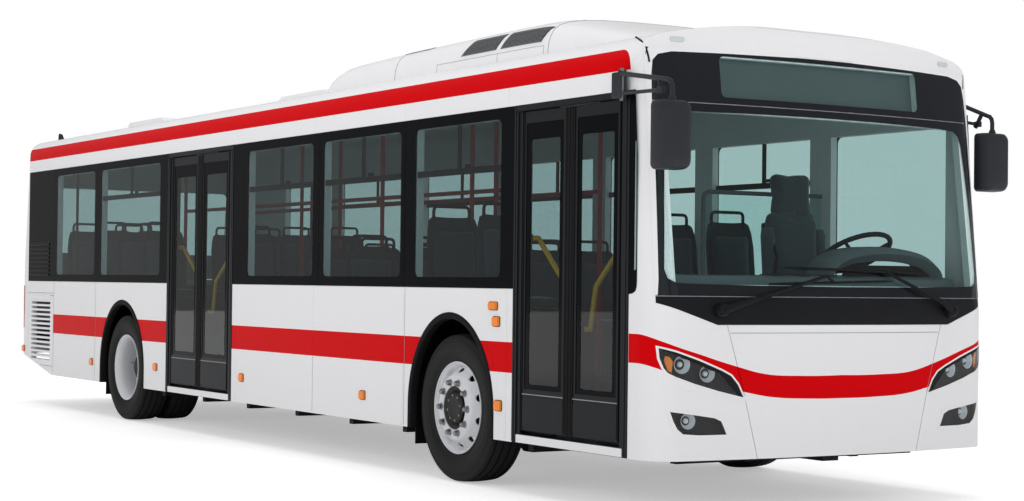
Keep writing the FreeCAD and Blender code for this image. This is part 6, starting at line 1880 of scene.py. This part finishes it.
class BUS_OT_driver_place(bpy.types.Operator):
    """Builds the driver's seat, the partition, the dashboard and the steering wheel"""

    bl_idname = "bus.driver_place"
    bl_label = "Driver's place"

    def execute(self, context):
        self.seat()
        self.partition()
        self.dashboard()
        self.steering_wheel()
        return {"FINISHED"}

    def seat(self):
        """A sprung seat: pads on a moulded pan, bellows over its base, belt and armrest."""
        def at(x, y, z):
            return Vector((FRONT + DRIVER[0] + x, DRIVER[1] + y, CAB_FLOOR + z))

        pads = (
            # name, size, place, lean (None: lying flat)
            ("cushion", (0.440, 0.460, 0.090), (0.215, 0, 0.418), None),
            ("backrest", (0.680, 0.440, 0.090), (-0.010, 0, 0.825), 5.0),
            ("headrest", (0.290, 0.320, 0.085), (-0.042, 0, 1.262), 4.0),
        )
        for name, size, place, lean in pads:
            form = pillow(size, 0.016, 0.009, 0.10)
            spot = at(*place)
            turn = Matrix.Translation(spot) if lean is None else leaning(spot, lean)
            cushion(f"driver_{name}", form, turn, "moquette_plain")
        sides = pillow((0.560, 0.070, 0.095), 0.010, 0.009, 0.05)
        for side, way in SIDES:
            cushion(f"driver_bolster_{side}", sides,
                    leaning(at(0.010, way * 0.215, 0.770), 5.0), "moquette_plain")
        shape = Shape()
        shape.block(at(-0.010, -0.225, 0.350), at(0.430, 0.225, 0.385), 0.016, 0, 3)
        back = Matrix.Translation(at(-0.065, 0, 0.780))
        for vert in shape.block((-0.018, -0.195, -0.330), (0.018, 0.195, 0.300), 0.016, 0, 3):
            vert.co = back @ (Matrix.Rotation(math.radians(-5), 4, "Y") @ vert.co)
        for way in (-1, 1):
            shape.tube([at(-0.045, way * 0.060, 1.080), at(-0.052, way * 0.060, 1.190)], 0.008,
                       10, index=1)
        for number in range(6):
            low = 0.045 + number * 0.050
            grow = 0.018 if number % 2 else 0.0
            shape.block(at(0.030 - grow, -0.175 - grow, low),
                        at(0.370 + grow, 0.175 + grow, low + 0.052), 0.012, 2)
        shape.block(at(0.000, -0.200, 0.0), at(0.400, 0.200, 0.045), 0.010)
        shape.tube([at(0.010, 0.260, 0.560), at(0.120, 0.262, 0.585), at(0.290, 0.262, 0.590)],
                   [0.020, 0.026, 0.022], 14)
        shape.tube([at(-0.030, -0.190, 1.040), at(0.075, -0.205, 0.860),
                    at(0.060, -0.232, 0.520), at(0.050, -0.240, 0.400)], 0.010, 6, index=2)
        made = piece("driver_seat_frame", shape,
                     ["abs_moulded_black", "zinc_plated_steel", "epdm_rubber_extruded"],
                     40)
        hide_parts("driver_seat")

    def partition(self):
        """A lower panel in a tube frame behind the driver, with a clear pane above it."""
        x, low_y, high_y = FRONT + 0.705, 0.200, 1.205
        waist, top = 1.300, 1.900
        shape = Shape()
        shape.block((x - 0.009, low_y + 0.015, CAB_FLOOR), (x + 0.009, high_y, waist), 0.003, 1)
        for number in range(5):
            y = low_y + 0.16 + number * 0.18
            shape.block((x - 0.014, y - 0.030, CAB_FLOOR + 0.05),
                        (x + 0.014, y + 0.030, waist - 0.06), 0.006, 1)
        shape.tube([(x, low_y, CAB_FLOOR), (x, low_y, top - 0.04), (x, low_y + 0.012, top - 0.012),
                    (x, low_y + 0.04, top), (x, high_y, top)], 0.015, 12)
        shape.tube([(x, low_y, waist), (x, high_y, waist)], 0.011, 10)
        made = piece("driver_partition_frame", shape,
                     ["frame_paint_grey", "anthracite_enamel_satin"], 40)
        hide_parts("driver_partition")
        glass = Shape()
        glass.block((x - 0.003, low_y + 0.020, waist + 0.014), (x + 0.003, high_y, top - 0.018),
                    0.0)
        piece("driver_partition_pane", glass, "glass_screen")

    def dashboard(self):
        """A full-width desk with a hooded binnacle, dials, switches and air outlets."""
        shape = Shape()
        desk = ((2.078, 0.640), (2.082, 1.290), (2.060, 1.332), (2.000, 1.350), (1.900, 1.346),
                (1.830, 1.322), (1.792, 1.270), (1.786, 1.180), (1.830, 1.050), (1.850, 0.640))
        ends = (-0.395, -0.380, 0.0, 0.40, 0.80, 1.110, 1.125)
        ribbon(shape, [[(FRONT + u - (0.010 if y in (ends[0], ends[-1]) else 0.0)
                         - 0.035 * max(0.0, abs(y) - 0.55), y, v) for y in ends]
                       for u, v in desk])
        shelf = ((2.084, 1.010), (2.086, 1.300), (2.074, 1.338), (2.040, 1.345), (2.036, 1.300),
                 (2.050, 1.010))
        across = [-1.045 + 0.650 * k / 10 for k in range(11)]
        ribbon(shape, [[(FRONT + u - 0.075 * max(0.0, abs(y) - 0.55), y, v) for y in across]
                       for u, v in shelf])
        # The hood over the dials: a long low arch, open towards the driver.
        count = 28
        outer, inner = [], []
        for k in range(count + 1):
            turn = math.pi * k / count
            y = 0.640 - 0.450 * math.cos(turn)
            rise = math.sin(turn) ** 0.62
            outer.append((y, 1.335 + 0.200 * rise))
            inner.append((0.640 - 0.425 * math.cos(turn), 1.320 + 0.185 * rise))
        ribbon(shape, [[(FRONT + x, y, z - drop) for y, z in line] for x, drop, line in (
            (1.990, 0.045, outer), (1.940, 0.008, outer), (1.880, 0, outer), (1.760, 0, outer),
            (1.748, 0.006, outer), (1.752, 0, inner), (1.850, 0.010, inner),
            (1.930, 0.060, inner))])
        shape.face(shape.points((FRONT + x, y, z) for x, y, z in (
            (1.800, 0.400, 1.300), (1.800, 1.080, 1.300), (1.860, 1.080, 1.420),
            (1.860, 0.400, 1.420))), 1)
        aim = Vector((-0.894, 0, 0.447))
        for y, radius in ((0.60, 0.058), (0.86, 0.058), (0.725, 0.036), (0.475, 0.030),
                          (0.985, 0.030)):
            spot = Vector((FRONT + 1.828, y, 1.362))
            shape.lathe(((radius, 0.0), (radius, 0.010), (radius - 0.004, 0.013),
                         (radius - 0.007, 0.010), (radius - 0.009, 0.004), (0.0, 0.003)), spot,
                        aim, 32, 2)
            shape.tube([spot + aim * 0.006, spot + aim * 0.006 + Vector((0.0, -radius * 0.45,
                                                                         radius * 0.45))],
                       0.0016, 5, index=3)
        for row in range(2):
            for number in range(8):
                y = 0.300 - number * 0.055
                x = 1.800 - row * 0.006
                z = 1.255 - row * 0.055
                shape.block((FRONT + x - 0.018, y - 0.020, z - 0.018),
                            (FRONT + x + 0.004, y + 0.020, z + 0.018), 0.004, 1)
        for y in (-0.260, -0.070, 0.130, 0.330):
            for slat in range(4):
                shape.block((FRONT + 1.925, y - 0.060, 1.3490),
                            (FRONT + 2.020 - slat * 0.020, y + 0.060, 1.3560), 0.002, 1)
        made = piece("dashboard_desk", shape,
                     ["abs_moulded_grey", "abs_moulded_black", "zinc_plated_steel",
                      "acrylic_white_moulded"],
                     40)
        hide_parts("dashboard")

    def steering_wheel(self):
        """A rim with finger bulges, four spokes and a horn pad on the steering wheel's body."""
        shape = Shape()
        centre = Vector((FRONT + WHEEL_CENTRE[0], WHEEL_CENTRE[1], WHEEL_CENTRE[2]))
        first = Vector((0, 1, 0))
        second = WHEEL_AXIS.normalized().cross(first).normalized()
        count = 72
        ring = [centre + 0.230 * (u * first + v * second) for u, v in circle(1, count)]
        shape.tube(ring, [0.0155 + 0.0012 * (k % 2) for k in range(count)], 14, True)
        for turn in (35, 145, 215, 325):
            out = (math.cos(math.radians(turn)) * first + math.sin(math.radians(turn)) * second)
            hub = centre - WHEEL_AXIS * 0.045
            shape.tube([hub + out * 0.050, hub + out * 0.110 + WHEEL_AXIS * 0.010,
                        centre + out * 0.190 - WHEEL_AXIS * 0.008, centre + out * 0.226],
                       [0.020, 0.015, 0.011, 0.010], 10)
        shape.lathe(((0.0, -0.075), (0.040, -0.075), (0.062, -0.066), (0.074, -0.050),
                     (0.076, -0.038), (0.068, -0.028), (0.050, -0.024), (0.0, -0.022)), centre,
                    WHEEL_AXIS, 36)
        shape.lathe(((0.0, -0.026), (0.030, -0.025), (0.034, -0.021), (0.030, -0.018),
                     (0.0, -0.016)), centre, WHEEL_AXIS, 28, 1)
        made = piece("steering_wheel_rim", shape, ["abs_moulded_black", "epdm_rubber_extruded"],
                     40, "steering_wheel")
        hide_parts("steering_wheel")
        column = Shape()
        foot = centre - WHEEL_AXIS * 0.520
        column.tube([centre - WHEEL_AXIS * 0.085, centre - WHEEL_AXIS * 0.230,
                     centre - WHEEL_AXIS * 0.260, foot], [0.036, 0.040, 0.052, 0.058], 20)
        for way in (-1, 1):
            column.tube([centre - WHEEL_AXIS * 0.130,
                         centre - WHEEL_AXIS * 0.120 + Vector((0, way * 0.110, 0)),
                         centre - WHEEL_AXIS * 0.110 + Vector((0, way * 0.170, 0))],
                        [0.009, 0.007, 0.010], 10)
        piece("steering_column_cover", column, "abs_moulded_black", 40)


# ---------------------------------------------------------------- camera, light and floor

# The camera's focal length in mm, its place, and its heading, pitch and roll in degrees.
LENS = 67.1
CAMERA_PLACE = (FRONT + 10.654, -7.441, 1.283)
CAMERA_TURN = (31.81, 0.99, 0.67)


class BUS_OT_stage(bpy.types.Operator):
    """Sets the camera, a pale floor and soft studio light"""

    bl_idname = "bus.stage"
    bl_label = "Stage"

    def execute(self, context):
        scene = context.scene
        scene.view_settings.view_transform = "Standard"
        self.camera(scene)
        self.floor()
        self.lamps()
        self.world(scene)
        return {"FINISHED"}

    def camera(self, scene):
        """A long lens at the front right corner, a little above the headlamps."""
        data = bpy.data.cameras.new("camera")
        data.sensor_width = 36
        data.lens = LENS
        data.clip_end = 200
        heading, pitch, roll = (math.radians(a) for a in CAMERA_TURN)
        ahead = Vector((-math.cos(heading) * math.cos(pitch),
                        math.sin(heading) * math.cos(pitch), math.sin(pitch)))
        across = Vector((math.sin(heading), math.cos(heading), 0))
        up = across.cross(ahead)
        right = math.cos(roll) * across + math.sin(roll) * up
        over = -math.sin(roll) * across + math.cos(roll) * up
        thing = bpy.data.objects.new("camera", data)
        turn = Matrix((right, over, -ahead)).transposed().to_4x4()
        thing.matrix_world = Matrix.Translation(CAMERA_PLACE) @ turn
        scene.collection.objects.link(thing)
        scene.camera = thing

    def floor(self):
        """A pale seamless floor that stays white to the camera and keeps the bus's shadow."""
        mesh = bpy.data.meshes.new("floor")
        reach = 60
        mesh.from_pydata([(-reach, -reach, 0), (reach, -reach, 0), (reach, reach, 0),
                          (-reach, reach, 0)], [], [(0, 1, 2, 3)])
        thing = bpy.data.objects.new("floor_sheet", mesh)
        bpy.context.scene.collection.objects.link(thing)
        made = bpy.data.materials.new("studio_floor_painted")
        made.use_nodes = True
        tree = made.node_tree
        shader = tree.nodes["Principled BSDF"]
        shader.inputs["Base Color"].default_value = linear("#F4F4F4")
        shader.inputs["Roughness"].default_value = 0.9
        place = add_node(tree, "ShaderNodeNewGeometry")
        away = add_node(tree, "ShaderNodeVectorMath", links={0: place.outputs["Position"]},
                        operation="LENGTH")
        fade = add_node(tree, "ShaderNodeMapRange", {"From Min": 7.0, "From Max": 15.0},
                        {"Value": away.outputs["Value"]}, interpolation_type="SMOOTHSTEP")
        white = add_node(tree, "ShaderNodeEmission")
        # The floor is lifted towards white for the camera alone, so the shadow stays on it.
        path = add_node(tree, "ShaderNodeLightPath")
        strength = maths(tree, "MULTIPLY", path.outputs["Is Camera Ray"], 0.42)
        lift = add_node(tree, "ShaderNodeEmission", links={"Strength": strength})
        lit = add_node(tree, "ShaderNodeAddShader",
                       links={0: shader.outputs[0], 1: lift.outputs[0]})
        mixed = add_node(tree, "ShaderNodeMixShader",
                         links={0: fade.outputs[0], 1: lit.outputs[0],
                                2: white.outputs[0]})
        tree.links.new(mixed.outputs[0], tree.nodes["Material Output"].inputs["Surface"])
        mesh.materials.append(made)

    def lamps(self):
        """Large soft boxes: one overhead and one on each of the four sides."""
        boxes = (
            # name, place, aimed at, width, height, power
            ("overhead", (0, 0, 9), (0, 0, 0), 16, 9, 500),
            ("right_bank", (1, -12, 5), (0, 0, 1.2), 16, 6, 500),
            ("front_bank", (14, -1, 4.5), (5, 0, 1.4), 9, 6, 310),
            ("left_bank", (0, 12, 5), (0, 0, 1.2), 16, 6, 450),
            ("rear_bank", (-14, 0, 4.5), (-5, 0, 1.4), 9, 6, 270),
        )
        for name, place, target, width, height, power in boxes:
            data = bpy.data.lights.new(name, "AREA")
            data.shape = "RECTANGLE"
            data.size, data.size_y = width, height
            data.energy = power
            thing = bpy.data.objects.new(name, data)
            aim = Vector(target) - Vector(place)
            thing.matrix_world = (Matrix.Translation(place)
                                  @ aim.to_track_quat("-Z", "Y").to_matrix().to_4x4())
            thing.visible_glossy = False
            bpy.context.scene.collection.objects.link(thing)

    def world(self, scene):
        """A plain pale surround: white to the camera and in reflections, softer as light."""
        world = bpy.data.worlds.new("studio")
        scene.world = world
        world.use_nodes = True
        tree = world.node_tree
        back = tree.nodes["Background"]
        path = add_node(tree, "ShaderNodeLightPath")
        seen = maths(tree, "MAXIMUM", path.outputs["Is Camera Ray"],
                     path.outputs["Is Transmission Ray"])
        mirrored = maths(tree, "MULTIPLY", path.outputs["Is Glossy Ray"], 0.30)
        power = maths(tree, "MAXIMUM", maths(tree, "MAXIMUM", seen, mirrored), 0.36)
        tree.links.new(power, back.inputs["Strength"])
        back.inputs["Color"].default_value = (1, 1, 1, 1)


# ---------------------------------------------------------------- panel and main

OPERATORS = (BUS_OT_materials, BUS_OT_frame_finishes, BUS_OT_window_borders, BUS_OT_wheels,
             BUS_OT_lamps, BUS_OT_door_trim, BUS_OT_wheel_arches, BUS_OT_front_trim,
             BUS_OT_mirrors, BUS_OT_roof_unit, BUS_OT_passenger_seats, BUS_OT_driver_place,
             BUS_OT_stage)


class BUS_PT_panel(bpy.types.Panel):
    """The bus's pieces, in the order they are made"""

    bl_idname = "BUS_PT_panel"
    bl_label = "City bus"
    bl_space_type = "VIEW_3D"
    bl_region_type = "UI"
    bl_category = "City bus"

    def draw(self, context):
        for group in (context.scene.bus_colours, context.scene.bus_sizes):
            for name in group.__annotations__:
                self.layout.prop(group, name)
        for operator in OPERATORS:
            self.layout.operator(operator.bl_idname)


CLASSES = (BusColours, BusSizes, *OPERATORS, BUS_PT_panel)


def register():
    for one in CLASSES:
        bpy.utils.register_class(one)
    bpy.types.Scene.bus_colours = bpy.props.PointerProperty(type=BusColours)
    bpy.types.Scene.bus_sizes = bpy.props.PointerProperty(type=BusSizes)


def unregister():
    del bpy.types.Scene.bus_colours
    del bpy.types.Scene.bus_sizes
    for one in reversed(CLASSES):
        bpy.utils.unregister_class(one)


def main():
    """Makes the bus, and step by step."""
    register()
    for operator in OPERATORS:
        group, name = operator.bl_idname.split(".")
        getattr(getattr(bpy.ops, group), name)()


if __name__ == "__main__":
    main()
